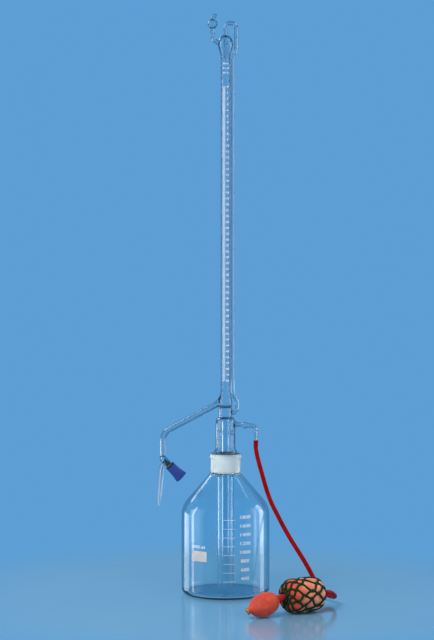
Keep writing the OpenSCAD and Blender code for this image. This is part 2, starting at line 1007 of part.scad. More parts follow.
out_a = neck_angle(pressure_half, pressure_r, neck_end_r);

module pressure_bulb() {
    r_in = pressure_r - rubber_wall;
    half_in = pressure_half - rubber_wall;
    link_a = neck_angle(half_in, r_in, link_r);
    hose_a = neck_angle(half_in, r_in, bulb_port_r);
    color(bulb_pink)
        at_pressure()
            lathe(concat(
                [[link_r, link_at + 4], [neck_end_r, link_at + 4]],
                barrel_arc(pressure_half, pressure_r, -out_a, out_a, 22),
                [
                    [neck_end_r - 0.8, pressure_half + hose_neck],
                    [hose_r + hose_gap, pressure_half + hose_neck],
                    [hose_r + hose_gap, hose_last],
                    [bulb_port_r, hose_last]
                ],
                barrel_arc(half_in, r_in, hose_a, -link_a, 22)
            ));
}

// Net: one sheet of cord with staggered rounded openings, laid over the pressure bulb
net_n = 12;
net_rows = 8;
net_cols = 4 * net_n;
net_steps = 2 * (net_rows + 1);
net_end_r = 9;
net_end_a = neck_angle(pressure_half, pressure_r, net_end_r);

function net_point(row, col, lift) =
    let (a = -net_end_a + 2 * net_end_a * row / net_steps)
    let (p = barrel_side(pressure_half + lift, pressure_r + lift, a))
    let (turn = 360 * col / net_cols)
    [p[0] * cos(turn), p[0] * sin(turn), p[1]];

// Corners and edge middles of a cell, as steps of rows and columns from its centre
cell_ring = [[0, -2], [-1, -1], [-2, 0], [-1, 1], [0, 2], [1, 1], [2, 0], [1, -1]];
cell_round = [0.82, 1, 0.82, 1, 0.82, 1, 0.82, 1];

module bulb_net() {
    cells = [
        for (j = [0 : net_rows - 1], i = [0 : net_n - 1])
            [2 * (j + 1), 4 * i + 2 * (j % 2)]
    ];
    lifts = [net_gap + net_t, net_gap];
    grid = (net_steps + 1) * net_cols;
    holes = 8 * len(cells);
    function at(row, col, level) = level * grid + row * net_cols + (col + net_cols) % net_cols;
    function hole(c, k, level) = 2 * grid + level * holes + 8 * c + k;
    points = concat(
        [
            for (lift = lifts, row = [0 : net_steps], col = [0 : net_cols - 1])
                net_point(row, col, lift)
        ],
        [
            for (lift = lifts, cell = cells, k = [0 : 7])
                let (s = net_open * cell_round[k])
                net_point(cell[0] + s * cell_ring[k][0], cell[1] + s * cell_ring[k][1], lift)
        ]
    );
    cords = [
        for (c = [0 : len(cells) - 1], k = [0 : 7])
            let (n = (k + 1) % 8, cell = cells[c])
            let (p = cell + cell_ring[k], q = cell + cell_ring[n])
            each [
                [at(p[0], p[1], 0), hole(c, k, 0), at(q[0], q[1], 0)],
                [at(q[0], q[1], 0), hole(c, k, 0), hole(c, n, 0)],
                [at(p[0], p[1], 1), at(q[0], q[1], 1), hole(c, k, 1)],
                [at(q[0], q[1], 1), hole(c, n, 1), hole(c, k, 1)],
                [hole(c, k, 0), hole(c, k, 1), hole(c, n, 0)],
                [hole(c, n, 0), hole(c, k, 1), hole(c, n, 1)]
            ]
    ];
    last = net_steps;
    shift = 2 * ((net_rows - 1) % 2);
    hems = [
        for (i = [0 : net_n - 1], level = [0, 1])
            let (a = 4 * i, b = 4 * i + shift)
            let (
                faces = [
                    [at(0, a, level), at(1, a + 1, level), at(0, a + 2, level)],
                    [at(0, a + 2, level), at(1, a + 1, level), at(2, a + 2, level)],
                    [at(0, a + 2, level), at(2, a + 2, level), at(1, a + 3, level)],
                    [at(0, a + 2, level), at(1, a + 3, level), at(0, a + 4, level)],
                    [at(last, b, level), at(last, b + 2, level), at(last - 1, b + 1, level)],
                    [at(last, b + 2, level), at(last - 2, b + 2, level), at(last - 1, b + 1, level)],
                    [at(last, b + 2, level), at(last - 1, b + 3, level), at(last - 2, b + 2, level)],
                    [at(last, b + 2, level), at(last, b + 4, level), at(last - 1, b + 3, level)]
                ]
            )
            each (level == 0 ? faces : [for (f = faces) turned(f)])
    ];
    rims = [
        for (k = [0 : 2 : net_cols - 1])
            each [
                [at(0, k, 0), at(0, k + 2, 0), at(0, k, 1)],
                [at(0, k + 2, 0), at(0, k + 2, 1), at(0, k, 1)],
                [at(last, k, 0), at(last, k, 1), at(last, k + 2, 0)],
                [at(last, k + 2, 0), at(last, k, 1), at(last, k + 2, 1)]
            ]
    ];
    color(net_green)
        at_pressure()
            polyhedron(points, concat(cords, hems, rims));
}

// Cord that gathers the net at each neck
module net_ties() {
    tie_r = 0.6;
    tie_gap = 0.05;
    shoulder_z = barrel_side(pressure_half, pressure_r, out_a)[1];
    color(net_green)
        at_pressure()
            for (end = [-1, 1])
                translate([0, 0, end * (shoulder_z + tie_r + tie_gap)])
                    rotate_extrude()
                        translate([neck_end_r + tie_r + tie_gap, 0])
                            circle(r = tie_r);
}

// Short rubber tube between the bulbs, bent where the hand bulb hangs down
module bulb_link() {
    bend_r = 30;
    t = bend_r * tan(hand_dip / 2);
    color(bulb_red)
        at_hand()
            translate([0, 0, -11])
                bent_tube([[11 - t, hand_dip, bend_r], [10 - t, 0, 0]], 2 * link_r, 2 * link_bore);
}

nozzle_r = 5.4;
nozzle_len = 5.6;
plug_r = 4.2;

// Hand bulb: an egg with a neck for the link and a nozzle for the inlet valve
module hand_bulb() {
    r_in = hand_r - rubber_wall;
    half_in = hand_half - rubber_wall;
    lip = inlet_at - nozzle_len;
    color(bulb_red)
        at_hand()
            lathe(concat(
                [[plug_r, lip], [nozzle_r - 0.8, lip], [nozzle_r, lip + 0.8]],
                [
                    for (p = arc([0, 0], hand_r, -acos(nozzle_r / hand_r), acos(neck_end_r / hand_r), 20))
                        [p[0], -hand_at + p[1] * hand_half / hand_r]
                ],
                [[neck_end_r, -4], [link_r, -4]],
                [
                    for (p = arc([0, 0], r_in, acos(link_r / r_in), -acos(plug_r / r_in), 20))
                        [p[0], -hand_at + p[1] * half_in / r_in]
                ]
            ));
}

valve_ball_r = 2.2;
valve_room = valve_ball_r + 0.35;
ball_travel = 1.2;

// Inlet valve: a metal plug with a hole in front, room for a ball and an open cage behind
module inlet_valve_body() {
    face = inlet_at - 6;
    seat = face + 2;
    seat_in = seat + valve_room - 1.4;
    room_end = seat_in + 2 * valve_ball_r + ball_travel - 0.6;
    color(nickel)
        at_hand()
            lathe([
                [1.4, face],
                [plug_r - 0.5, face],
                [plug_r, face + 0.5],
                [plug_r, room_end + 2],
                [1.2, room_end + 2],
                [1.2, room_end],
                [valve_room, room_end],
                [valve_room, seat_in],
                [1.4, seat]
            ]);
}

inlet_ball_z = inlet_at - 4 + valve_room - 1.4 + 1.1;
outlet_ball_r = 1.6;
outlet_room = outlet_ball_r + 0.35;

module inlet_valve_ball() {
    color(nickel)
        at_hand()
            translate([0, 0, inlet_ball_z])
                sphere(r = valve_ball_r);
}

// Outlet valve inside the link, built like the inlet valve
module outlet_valve_body() {
    face = -11;
    seat = face + 1.2;
    seat_in = seat + outlet_room - 1;
    room_end = seat_in + 2 * outlet_ball_r + ball_travel - 0.4;
    cap_t = 0.9;
    color(nickel)
        at_hand()
            lathe([
                [1, face],
                [link_bore, face],
                [link_bore, room_end + cap_t],
                [0.9, room_end + cap_t],
                [0.9, room_end],
                [outlet_room, room_end],
                [outlet_room, seat_in],
                [1, seat]
            ]);
}

outlet_ball_z = -11 + 1.2 + outlet_room - 1 + 0.9;

module outlet_valve_ball() {
    color(nickel)
        at_hand()
            translate([0, 0, outlet_ball_z])
                sphere(r = outlet_ball_r);
}

reservoir_bottle();
joint_sleeve();
ground_cone();
jacket_tube();
guard_tube();
dip_tube();
filling_chamber();
measuring_tube();
overflow_bulb();
zero_tip();
filling_tube();
vent_tube();
vent_bulb();
vent_tip();
delivery_arm();
valve_barrel();
jet_tip();
stop_ring();
valve_spindle();
spindle_o_rings();
valve_knob();
air_arm();
inlet_bulb();
hose_nipple();
hose();
pressure_bulb();
bulb_net();
net_ties();
bulb_link();
outlet_valve_body();
outlet_valve_ball();
hand_bulb();
inlet_valve_body();
inlet_valve_ball();
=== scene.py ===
"""Looks of an automatic burette: glass, print, rubber and net around the frame, in a plain studio."""

import bisect
import json
import math

import bmesh
import bpy
from mathutils import Matrix, Vector

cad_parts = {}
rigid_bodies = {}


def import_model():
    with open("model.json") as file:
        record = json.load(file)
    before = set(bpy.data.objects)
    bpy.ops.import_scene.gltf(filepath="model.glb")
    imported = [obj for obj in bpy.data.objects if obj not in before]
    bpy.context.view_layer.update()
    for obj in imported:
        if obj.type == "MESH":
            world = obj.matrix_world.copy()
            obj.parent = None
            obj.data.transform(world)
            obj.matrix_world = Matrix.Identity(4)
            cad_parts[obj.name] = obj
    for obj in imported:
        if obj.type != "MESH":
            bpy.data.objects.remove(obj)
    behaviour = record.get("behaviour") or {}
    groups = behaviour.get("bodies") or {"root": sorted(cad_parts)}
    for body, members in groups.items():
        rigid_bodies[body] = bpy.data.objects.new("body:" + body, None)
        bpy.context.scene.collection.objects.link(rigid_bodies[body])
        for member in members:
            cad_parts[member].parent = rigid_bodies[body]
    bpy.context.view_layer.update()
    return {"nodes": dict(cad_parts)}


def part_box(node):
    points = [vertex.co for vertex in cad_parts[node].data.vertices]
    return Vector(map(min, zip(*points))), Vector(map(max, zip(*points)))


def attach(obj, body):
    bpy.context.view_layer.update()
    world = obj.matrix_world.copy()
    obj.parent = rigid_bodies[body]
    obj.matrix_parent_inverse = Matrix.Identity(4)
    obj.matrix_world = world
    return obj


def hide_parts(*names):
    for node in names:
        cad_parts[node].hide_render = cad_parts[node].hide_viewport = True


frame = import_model()

bl_info = {
    "name": "Automatic burette",
    "version": (1, 0, 0),
    "blender": (4, 5, 0),
    "location": "View3D > Sidebar > Burette",
    "description": "Dresses the burette's frame in glass, print, rubber and net",
    "category": "Object",
}

MM = 0.001

# Places that come from the frame
BOTTLE_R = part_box("reservoir_bottle")[1].x
RIM_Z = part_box("reservoir_bottle")[1].z
JOINT_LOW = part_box("joint_sleeve")[0].z
CHAMBER_LOW, CHAMBER_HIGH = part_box("filling_chamber")
BELL_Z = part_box("measuring_tube")[0].z
BELL_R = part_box("measuring_tube")[1].x
BULB_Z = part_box("measuring_tube")[1].z
BULB_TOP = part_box("overflow_bulb")[1].z
FILL_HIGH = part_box("filling_tube")[1]

# The pump's axis, its bulbs and the link between them
PUMP_TURN = math.radians(32)
BULB_LOW, BULB_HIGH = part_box("pressure_bulb")
PRESSURE_AT = Vector((115.25 * MM, -157.7 * MM, (BULB_LOW.z + BULB_HIGH.z) / 2))
PRESSURE_R = (BULB_HIGH.z - BULB_LOW.z) / 2
PRESSURE_HALF = 30.25 * MM
NET_R = (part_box("bulb_net")[1].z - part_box("bulb_net")[0].z) / 2
LINK_AT = -PRESSURE_HALF - 5 * MM
HAND_R = 18 * MM
HAND_HALF = 25.5 * MM
HAND_AT = 35 * MM
NECK_R = 6.3 * MM
LINK_R = 4.75 * MM
HOSE_NECK = 7 * MM
BARREL_POWER = 5

# Rows and columns of the net, from one gathered end to the other
NET_AROUND = 9
NET_ROWS = 14
NET_END_R = 9 * MM
# Waves that pull the net out of line: size in rows or columns, waves round the bulb, turn per row, start
NET_WAVES_ALONG = ((0.42, 3, 0.9, 0), (0.3, 5, -0.7, 0))
NET_WAVES_ACROSS = ((0.5, 4, 1.1, 1), (0.35, 2, -0.8, 0))


def metres(name, description, default):
    return bpy.props.FloatProperty(
        name=name, description=description, default=default, unit="LENGTH", precision=5
    )


def colour(name, description, default):
    return bpy.props.FloatVectorProperty(
        name=name, description=description, default=default, size=4, subtype="COLOR", min=0.0, max=1.0
    )


class BuretteGlass(bpy.types.PropertyGroup):
    """Sizes and tints of the glass"""

    tube_d: metres("Tube diameter", "Outside diameter of the measuring tube", 15.5 * MM)
    tube_bore: metres("Tube bore", "Bore of the measuring tube", 11.6 * MM)
    bell_h: metres("Bell height", "Height of the bell at the tube's foot", 29 * MM)
    fill_d: metres("Filling tube diameter", "Outside diameter of the filling tube", 7 * MM)
    fill_bore: metres("Filling tube bore", "Bore of the filling tube", 4 * MM)
    fill_gap: metres("Filling tube gap", "Gap between the filling tube and the measuring tube", 0.3 * MM)
    loop_r: metres("Loop radius", "Radius of the loop over the overflow bulb", 8.5 * MM)
    clear: colour("Clear", "Colour of the glass seen square on", (0.89, 0.93, 0.95, 1.0))
    bottle: colour("Bottle", "Colour of the bottle's glass seen square on", (0.82, 0.93, 0.96, 1.0))
    jet: colour("Jet", "Colour of the jet's thick glass seen square on", (0.80, 0.84, 0.86, 1.0))
    # Edge colour: partly the glass's own tint, partly painted shade for the dark surroundings seen through
    # the glass's edges
    edge: colour("Edge", "Colour of the glass seen edge on", (0.03, 0.10, 0.16, 1.0))


class BurettePrint(bpy.types.PropertyGroup):
    """Sizes of the fired print"""

    film: metres("Film", "Thickness of the print", 0.06 * MM)
    zero_z: metres("Zero", "Height of the tube's zero mark", 816 * MM)
    per_ml: metres("Tube division", "Length of one millilitre on the tube", 9.456 * MM)
    tube_volume: bpy.props.IntProperty(name="Tube volume", description="Last numeral of the tube", default=50)
    tube_numeral: metres("Tube numeral", "Height of the tube's type", 4.6 * MM)
    bottle_zero: metres("Bottle zero", "Height at which the bottle's scale would start", 2.9 * MM)
    bottle_per_litre: metres("Bottle litre", "Height of one litre in the bottle", 68.84 * MM)
    bottle_numeral: metres("Bottle numeral", "Height of the bottle's type", 7.4 * MM)
    white: colour("Print", "Colour of the print", (0.90, 0.91, 0.90, 1.0))
    patch: colour("Writing patch", "Colour of the patch that can be written on", (0.56, 0.55, 0.54, 1.0))


class BurettePump(bpy.types.PropertyGroup):
    """Sizes of the hose, the bulbs and the net"""

    hose_d: metres("Hose diameter", "Outside diameter of the hose", 7 * MM)
    hose_length: metres("Hose length", "Length of the hose from the nipple to the bulb", 0.357)
    nipple_d: metres("Nipple diameter", "Diameter of the nipple in the hose", 5.1 * MM)
    cord_d: metres("Cord diameter", "Thickness of the net's cord", 3.4 * MM)
    bulge: metres("Bulge", "How far the rubber swells through the net", 2.4 * MM)


class BuretteColours(bpy.types.PropertyGroup):
    """Colours of the finishes"""

    hose: colour("Hose", "Red of the hose", (0.25, 0.002, 0.002, 1.0))
    hand: colour("Hand bulb", "Red of the hand bulb", (0.58, 0.068, 0.034, 1.0))
    pressure: colour("Pressure bulb", "Pink of the stretched bulb", (0.74, 0.25, 0.16, 1.0))
    slack: colour("Slack rubber", "Red of the bulb where it is stretched less", (0.60, 0.06, 0.03, 1.0))
    link: colour("Link", "Red of the link between the bulbs", (0.46, 0.012, 0.018, 1.0))
    cord: colour("Net cord", "Green of the net", (0.003, 0.044, 0.006, 1.0))
    knob: colour("Knob", "Blue of the knob", (0.012, 0.032, 0.22, 1.0))
    ptfe: colour("Sleeve", "White of the sleeve and the spindle", (0.86, 0.88, 0.87, 1.0))
    ground: colour("Ground face", "White of the ground socket", (0.95, 0.91, 0.81, 1.0))
    # Painted shadow: colour of the shade in the gap between the sleeve's top and the bottle's rim
    rim: colour("Rim", "Dark line at the sleeve's upper rim", (0.05, 0.09, 0.10, 1.0))
    ring: colour("Ring", "Black of the rings", (0.012, 0.012, 0.013, 1.0))
    brass: colour("Brass", "Colour of the valves' metal", (0.80, 0.46, 0.15, 1.0))


class BuretteStage(bpy.types.PropertyGroup):
    """Camera, floor and lights"""

    eye_height: metres("Eye height", "Height of the camera", 0.4408)
    eye_distance: metres("Eye distance", "Distance of the camera from the axis", 2.42)
    eye_side: metres("Eye side", "Sideways place of the camera", -0.0137)
    lens: bpy.props.FloatProperty(name="Lens", description="Focal length", default=84.375, unit="CAMERA")
    backdrop: colour("Backdrop", "Colour of the backdrop", (0.11, 0.345, 0.665, 1.0))
    floor: colour("Floor", "Colour of the floor", (0.18, 0.40, 0.62, 1.0))


# Shader nodes

FLOAT, COLOUR, VECTOR = "NodeSocketFloat", "NodeSocketColor", "NodeSocketVector"


def fill(node, inputs):
    """Sets a node's inputs; one that gets another node's output is linked to it."""
    for key, value in inputs.items():
        if isinstance(value, bpy.types.NodeSocket):
            node.id_data.links.new(value, node.inputs[key])
        else:
            node.inputs[key].default_value = value


def add(tree, kind, inputs=None, **settings):
    """A new node with its settings and its inputs."""
    node = tree.nodes.new(kind)
    for key, value in settings.items():
        setattr(node, key, value)
    fill(node, inputs or {})
    return node


def object_place(tree):
    return add(tree, "ShaderNodeTexCoord").outputs["Object"]


def ramp(tree, value, low, high):
    """Goes smoothly from 0 to 1 while a value goes from low to high."""
    inputs = {"Value": value, "From Min": low, "From Max": high}
    return add(tree, "ShaderNodeMapRange", inputs, interpolation_type="SMOOTHSTEP").outputs["Result"]


def blend(tree, share, first, second, **settings):
    """A mix of two colours."""
    inputs = {"Factor": share, "A": first, "B": second}
    return add(tree, "ShaderNodeMix", inputs, data_type="RGBA", **settings).outputs["Result"]


def mix_shaders(tree, share, first, second):
    return add(tree, "ShaderNodeMixShader", {"Fac": share, 1: first, 2: second}).outputs["Shader"]


def shader_group(name, inputs, outputs):
    """A shader group with named sockets: its tree, what comes in and the node that takes what goes out."""
    tree = bpy.data.node_groups.new(name, "ShaderNodeTree")
    for label, kind, default in inputs:
        tree.interface.new_socket(label, in_out="INPUT", socket_type=kind).default_value = default
    for label, kind in outputs:
        tree.interface.new_socket(label, in_out="OUTPUT", socket_type=kind)
    return tree, tree.nodes.new("NodeGroupInput").outputs, tree.nodes.new("NodeGroupOutput")


def mottle_group(name):
    """Uneven colour and fine grain of a moulded or pressed surface."""
    tree, given, result = shader_group(
        name,
        [
            ("Light", COLOUR, (0.8, 0.8, 0.8, 1.0)),
            ("Dark", COLOUR, (0.6, 0.6, 0.6, 1.0)),
            ("Scale", FLOAT, 120.0),
            ("Grain", FLOAT, 1600.0),
        ],
        [("Colour", COLOUR), ("Height", FLOAT)],
    )
    place = object_place(tree)
    clouds = add(tree, "ShaderNodeTexNoise", {"Vector": place, "Scale": given["Scale"], "Detail": 5.0})
    grain = add(tree, "ShaderNodeTexNoise", {"Vector": place, "Scale": given["Grain"], "Detail": 3.0})
    patches = ramp(tree, clouds.outputs["Fac"], 0.36, 0.66)
    colours = blend(tree, patches, given["Dark"], given["Light"])
    fill(result, {"Colour": colours, "Height": grain.outputs["Fac"]})
    return tree


def smudge_group(name):
    """Roughness that changes softly, as on a handled surface."""
    tree, given, result = shader_group(
        name, [("Least", FLOAT, 0.2), ("Most", FLOAT, 0.4), ("Scale", FLOAT, 60.0)], [("Roughness", FLOAT)]
    )
    clouds = {"Vector": object_place(tree), "Scale": given["Scale"], "Detail": 4.0, "Distortion": 0.6}
    value = add(tree, "ShaderNodeTexNoise", clouds).outputs["Fac"]
    spread = {"Value": value, "From Min": 0.3, "From Max": 0.7}
    rough = add(tree, "ShaderNodeMapRange", {**spread, "To Min": given["Least"], "To Max": given["Most"]})
    fill(result, {"Roughness": rough.outputs["Result"]})
    return tree


def along_group(name):
    """How far along an axis a point lies."""
    tree, given, result = shader_group(name, [("Axis", VECTOR, (0.0, 0.0, 1.0))], [("Along", FLOAT)])
    both = {0: object_place(tree), 1: given["Axis"]}
    along = add(tree, "ShaderNodeVectorMath", both, operation="DOT_PRODUCT")
    fill(result, {"Along": along.outputs["Value"]})
    return tree


SHADER_GROUPS = {"Mottle": mottle_group, "Smudges": smudge_group, "Along": along_group}


def place_group(tree, name, **inputs):
    """What a shader group puts out in a material; the group is built the first time."""
    group = bpy.data.node_groups.get(name) or SHADER_GROUPS[name](name)
    return add(tree, "ShaderNodeGroup", inputs, node_tree=group).outputs


# Materials


def new_material(name):
    material = bpy.data.materials.new(name)
    material.use_nodes = True
    return material, material.node_tree, material.node_tree.nodes["Principled BSDF"]


def shaded(base, by):
    """A colour made lighter or darker."""
    return (*[min(1.0, c * by) for c in base[:3]], 1.0)


def solid_material(name, base, spread, rough, bump, grain=1600.0, scale=120.0, finish=None):
    """An opaque material with uneven colour, smudged gloss and a fine grain; finish sets more of it."""
    material, tree, shader = new_material(name)
    light, dark = shaded(base, 1 + spread), shaded(base, 1 - spread)
    mottle = place_group(tree, "Mottle", Light=light, Dark=dark, Scale=scale, Grain=grain)
    smudges = place_group(tree, "Smudges", Least=rough[0], Most=rough[1], Scale=scale * 0.7)
    relief = add(tree, "ShaderNodeBump", {"Strength": bump, "Distance": 0.1 * MM, "Height": mottle["Height"]})
    fill(shader, {"Base Color": mottle["Colour"], "Roughness": smudges["Roughness"]})
    fill(shader, {"Normal": relief.outputs["Normal"], **(finish or {})})
    return material


def tint(material, share, colour):
    """Mixes a share of another colour into a material."""
    tree = material.node_tree
    shader = tree.nodes["Principled BSDF"]
    own = shader.inputs["Base Color"].links[0].from_socket
    fill(shader, {"Base Color": blend(tree, share, own, colour)})


def glass_material(name, clear, edge, dark, band=None, rough=0.0):
    """Clear glass, darker where it is seen more edge on: partly the glass's own tint, partly painted shade
    for the dark surroundings that the glass's edges refract. A ground band is (low z, high z, largest
    radius).
    """
    material, tree, shader = new_material(name)
    # Painted shade: the colour darkens toward grazing angles, in place of the dark surroundings refracted at
    # the edges
    facing = add(tree, "ShaderNodeLayerWeight", {"Blend": 0.5}).outputs["Facing"]
    colours = blend(tree, ramp(tree, facing, *dark), clear, edge)
    fill(shader, {"Base Color": colours, "Transmission Weight": 1.0, "IOR": 1.47})
    fill(shader, {"Roughness": ground_band(tree, *band) if band else rough})
    # Lamps shine through, as they do through a thin clear wall
    shadow = add(tree, "ShaderNodeLightPath").outputs["Is Shadow Ray"]
    through = add(tree, "ShaderNodeBsdfTransparent", {"Color": (0.94, 0.96, 0.97, 1.0)})
    surface = mix_shaders(tree, shadow, shader.outputs["BSDF"], through.outputs["BSDF"])
    fill(tree.nodes["Material Output"], {"Surface": surface})
    return material


def ground_band(tree, low, high, radius):
    """Roughness of a ground band around the axis, zero outside it."""
    rough = 0.5
    split = add(tree, "ShaderNodeSeparateXYZ", {"Vector": object_place(tree)}).outputs
    flat = add(tree, "ShaderNodeCombineXYZ", {"X": split["X"], "Y": split["Y"]})
    reach = add(tree, "ShaderNodeVectorMath", {0: flat.outputs["Vector"]}, operation="LENGTH")
    for value, test, limit in (
        (split["Z"], "GREATER_THAN", low),
        (split["Z"], "LESS_THAN", high),
        (reach.outputs["Value"], "LESS_THAN", radius),
    ):
        inside = add(tree, "ShaderNodeMath", {0: value, 1: limit}, operation=test)
        both = add(tree, "ShaderNodeMath", {0: inside.outputs["Value"], 1: rough}, operation="MULTIPLY")
        rough = both.outputs["Value"]
    return rough


def rubber_material(name, base, shine=0.22):
    depth = (2.5 * MM, 0.8 * MM, 0.5 * MM)
    finish = {"Subsurface Weight": 0.08, "Subsurface Radius": depth, "Subsurface Scale": 1.0}
    finish["Specular IOR Level"] = shine
    return solid_material(name, base, 0.16, (0.38, 0.58), bump=0.25, grain=2200.0, scale=90.0, finish=finish)


def cord_material(name, base):
    """Twisted cotton: fine strands wind round the cord."""
    material, tree, shader = new_material(name)
    run = add(tree, "ShaderNodeUVMap", uv_map="run").outputs["UV"]
    wave = {"Vector": run, "Scale": 1.0, "Distortion": 0.4}
    strands = add(tree, "ShaderNodeTexWave", wave, wave_type="BANDS", bands_direction="DIAGONAL").outputs
    light, dark = shaded(base, 1.5), shaded(base, 0.6)
    mottle = place_group(tree, "Mottle", Light=light, Dark=dark, Scale=700.0, Grain=5000.0)
    smudges = place_group(tree, "Smudges", Least=0.7, Most=0.9, Scale=400.0)
    shade = blend(tree, 0.6, mottle["Colour"], strands["Color"], blend_type="MULTIPLY")
    relief = add(tree, "ShaderNodeBump", {"Strength": 0.8, "Distance": 0.3 * MM, "Height": strands["Fac"]})
    fill(shader, {"Base Color": shade, "Roughness": smudges["Roughness"], "Normal": relief.outputs["Normal"]})
    fill(shader, {"Sheen Weight": 0.06, "Sheen Roughness": 0.5, "Specular IOR Level": 0.12})
    return material


# Mesh tools


def arc(centre, radius, start, end, steps):
    """Points of an arc in the plane, angles in degrees."""
    turns = [math.radians(start + (end - start) * i / steps) for i in range(steps + 1)]
    return [(centre[0] + radius * math.cos(a), centre[1] + radius * math.sin(a)) for a in turns]


def ease(r1, z1, r2, z2, steps):
    """Points of a smooth change of radius between two heights."""
    shares = [i / steps for i in range(steps + 1)]
    return [(r1 + (r2 - r1) * (1 - math.cos(math.pi * t)) / 2, z1 + (z2 - z1) * t) for t in shares]


def bent_path(start, heading, steps):
    """Points along straight runs and bends in the plane Y = 0. A heading of 0 is +Z and of 90 is +X."""
    finest, least = math.radians(5), 0.001 * MM
    point = Vector(start)
    path = [point.copy()]
    for run, turn, radius in steps:
        way = Vector((math.sin(heading), 0, math.cos(heading)))
        point = point + way * run
        path.append(point.copy())
        pieces = round(abs(turn) / finest)
        for _ in range(pieces):
            step = turn / pieces
            middle = heading + step / 2
            chord = 2 * radius * math.sin(abs(step) / 2)
            point = point + Vector((math.sin(middle), 0, math.cos(middle))) * chord
            heading += step
            path.append(point.copy())
    return [p for i, p in enumerate(path) if i == 0 or (p - path[i - 1]).length > least]


def smooth_path(points, per_span):
    """A smooth line through points, with a few steps between each two."""
    line = []
    for i in range(len(points) - 1):
        a, b = Vector(points[max(i - 1, 0)]), Vector(points[i])
        c, d = Vector(points[i + 1]), Vector(points[min(i + 2, len(points) - 1)])
        for k in range(per_span):
            t = k / per_span
            square, cube = a * 2 - b * 5 + c * 4 - d, b * 3 - a - c * 3 + d
            line.append((b * 2 + (c - a) * t + square * t**2 + cube * t**3) / 2)
    line.append(Vector(points[-1]))
    return line


def path_frames(path):
    """Directions and side vectors along a path, carried along without twist."""
    last = len(path) - 1
    ways = [(path[min(i + 1, last)] - path[max(i - 1, 0)]).normalized() for i in range(last + 1)]
    side = ways[0].orthogonal().normalized()
    sides = []
    for way in ways:
        side = (side - way * side.dot(way)).normalized()
        sides.append(side)
    return ways, sides


def add_tube(bm, path, radii, sides=16, bores=None):
    """A tube along a path; radii and bores are one for each point. Without bores its ends are closed."""
    ways, across = path_frames(path)
    # The texture runs in millimetres along the tube, and a turn round it counts as four
    turn_run = 4.0
    layer = bm.loops.layers.uv.get("run") or bm.loops.layers.uv.new("run")
    runs = [0.0]
    for a, b in zip(path, path[1:]):
        runs.append(runs[-1] + (b - a).length / MM)

    def rings(sizes):
        made = []
        turns = [math.tau * k / sides for k in range(sides)]
        for point, way, side, size in zip(path, ways, across, sizes):
            other = way.cross(side)
            spokes = [side * math.cos(a) + other * math.sin(a) for a in turns]
            made.append([bm.verts.new(point + spoke * size) for spoke in spokes])
        return made

    def skin(made, flip):
        for i, (lower, upper) in enumerate(zip(made, made[1:])):
            for k in range(sides):
                n = (k + 1) % sides
                corners = [lower[k], lower[n], upper[n], upper[k]]
                marks = [(runs[i], k), (runs[i], k + 1), (runs[i + 1], k + 1), (runs[i + 1], k)]
                if flip:
                    corners.reverse()
                    marks.reverse()
                face = bm.faces.new(corners)
                for loop, (run, turn) in zip(face.loops, marks):
                    loop[layer].uv = (run, turn * turn_run / sides)

    outer = rings(radii)
    skin(outer, False)
    if bores is None:
        bm.faces.new(outer[0][::-1])
        bm.faces.new(outer[-1])
        return
    inner = rings(bores)
    skin(inner, True)
    for edge, hole, flip in ((outer[0], inner[0], False), (outer[-1], inner[-1], True)):
        for k in range(sides):
            n = (k + 1) % sides
            corners = [edge[n], edge[k], hole[k], hole[n]]
            bm.faces.new(corners[::-1] if flip else corners)


def add_lathe(bm, outline, place=Matrix.Identity(4), segments=72, swell=None):
    """A solid of revolution from a closed loop of (radius, height) points.

    swell(angle, radius, height) adds to a radius.
    """
    turns = [math.tau * k / segments for k in range(segments)]
    rings = []
    for r, z in outline:
        if r < 1e-7:
            rings.append([bm.verts.new(place @ Vector((0, 0, z)))])
            continue
        sizes = [r + (swell(a, r, z) if swell else 0.0) for a in turns]
        points = [Vector((s * math.cos(a), s * math.sin(a), z)) for a, s in zip(turns, sizes)]
        rings.append([bm.verts.new(place @ p) for p in points])
    for lower, upper in zip(rings, rings[1:] + rings[:1]):
        for k in range(segments):
            n = (k + 1) % segments
            corners = [lower[k % len(lower)], lower[n % len(lower)]]
            corners += [upper[n % len(upper)], upper[k % len(upper)]]
            face = list(dict.fromkeys(corners))
            if len(face) > 2:
                bm.faces.new(face)


def add_strip(bm, radius, film, low, high, start, end, steps):
    """A thin patch of print on an upright round wall, between two angles from the front, in degrees."""
    rows = []
    for i in range(steps + 1):
        a = math.radians(start + (end - start) * i / steps)
        out = Vector((math.sin(a), -math.cos(a), 0))
        corners = [(radius, low), (radius + film, low), (radius + film, high), (radius, high)]
        rows.append([bm.verts.new(out * r + Vector((0, 0, z))) for r, z in corners])
    for one, two in zip(rows, rows[1:]):
        for k in range(4):
            n = (k + 1) % 4
            bm.faces.new([one[k], two[k], two[n], one[n]])
    bm.faces.new(rows[0])
    bm.faces.new(rows[-1][::-1])


def add_words(bm, words, size, radius, film, angle, z, wide=1.0, bold=0.0):
    """Upright type, centred at an angle from the front in degrees, bent round a wall."""
    curve = bpy.data.curves.new("type", "FONT")
    curve.body = words
    curve.size = size
    curve.align_x = "CENTER"
    curve.extrude = film / 2
    curve.offset = bold * size
    curve.resolution_u = 3
    holder = bpy.data.objects.new("type", curve)
    bpy.context.scene.collection.objects.link(holder)
    mesh = bpy.data.meshes.new_from_object(holder.evaluated_get(bpy.context.evaluated_depsgraph_get()))
    for vertex in mesh.vertices:
        x, y, deep = vertex.co
        a = math.radians(angle) + x * wide / radius
        r = radius + film / 2 + deep
        vertex.co = (r * math.sin(a), -r * math.cos(a), z + y)
    bm.from_mesh(mesh)
    bpy.data.objects.remove(holder)
    bpy.data.curves.remove(curve)
    bpy.data.meshes.remove(mesh)


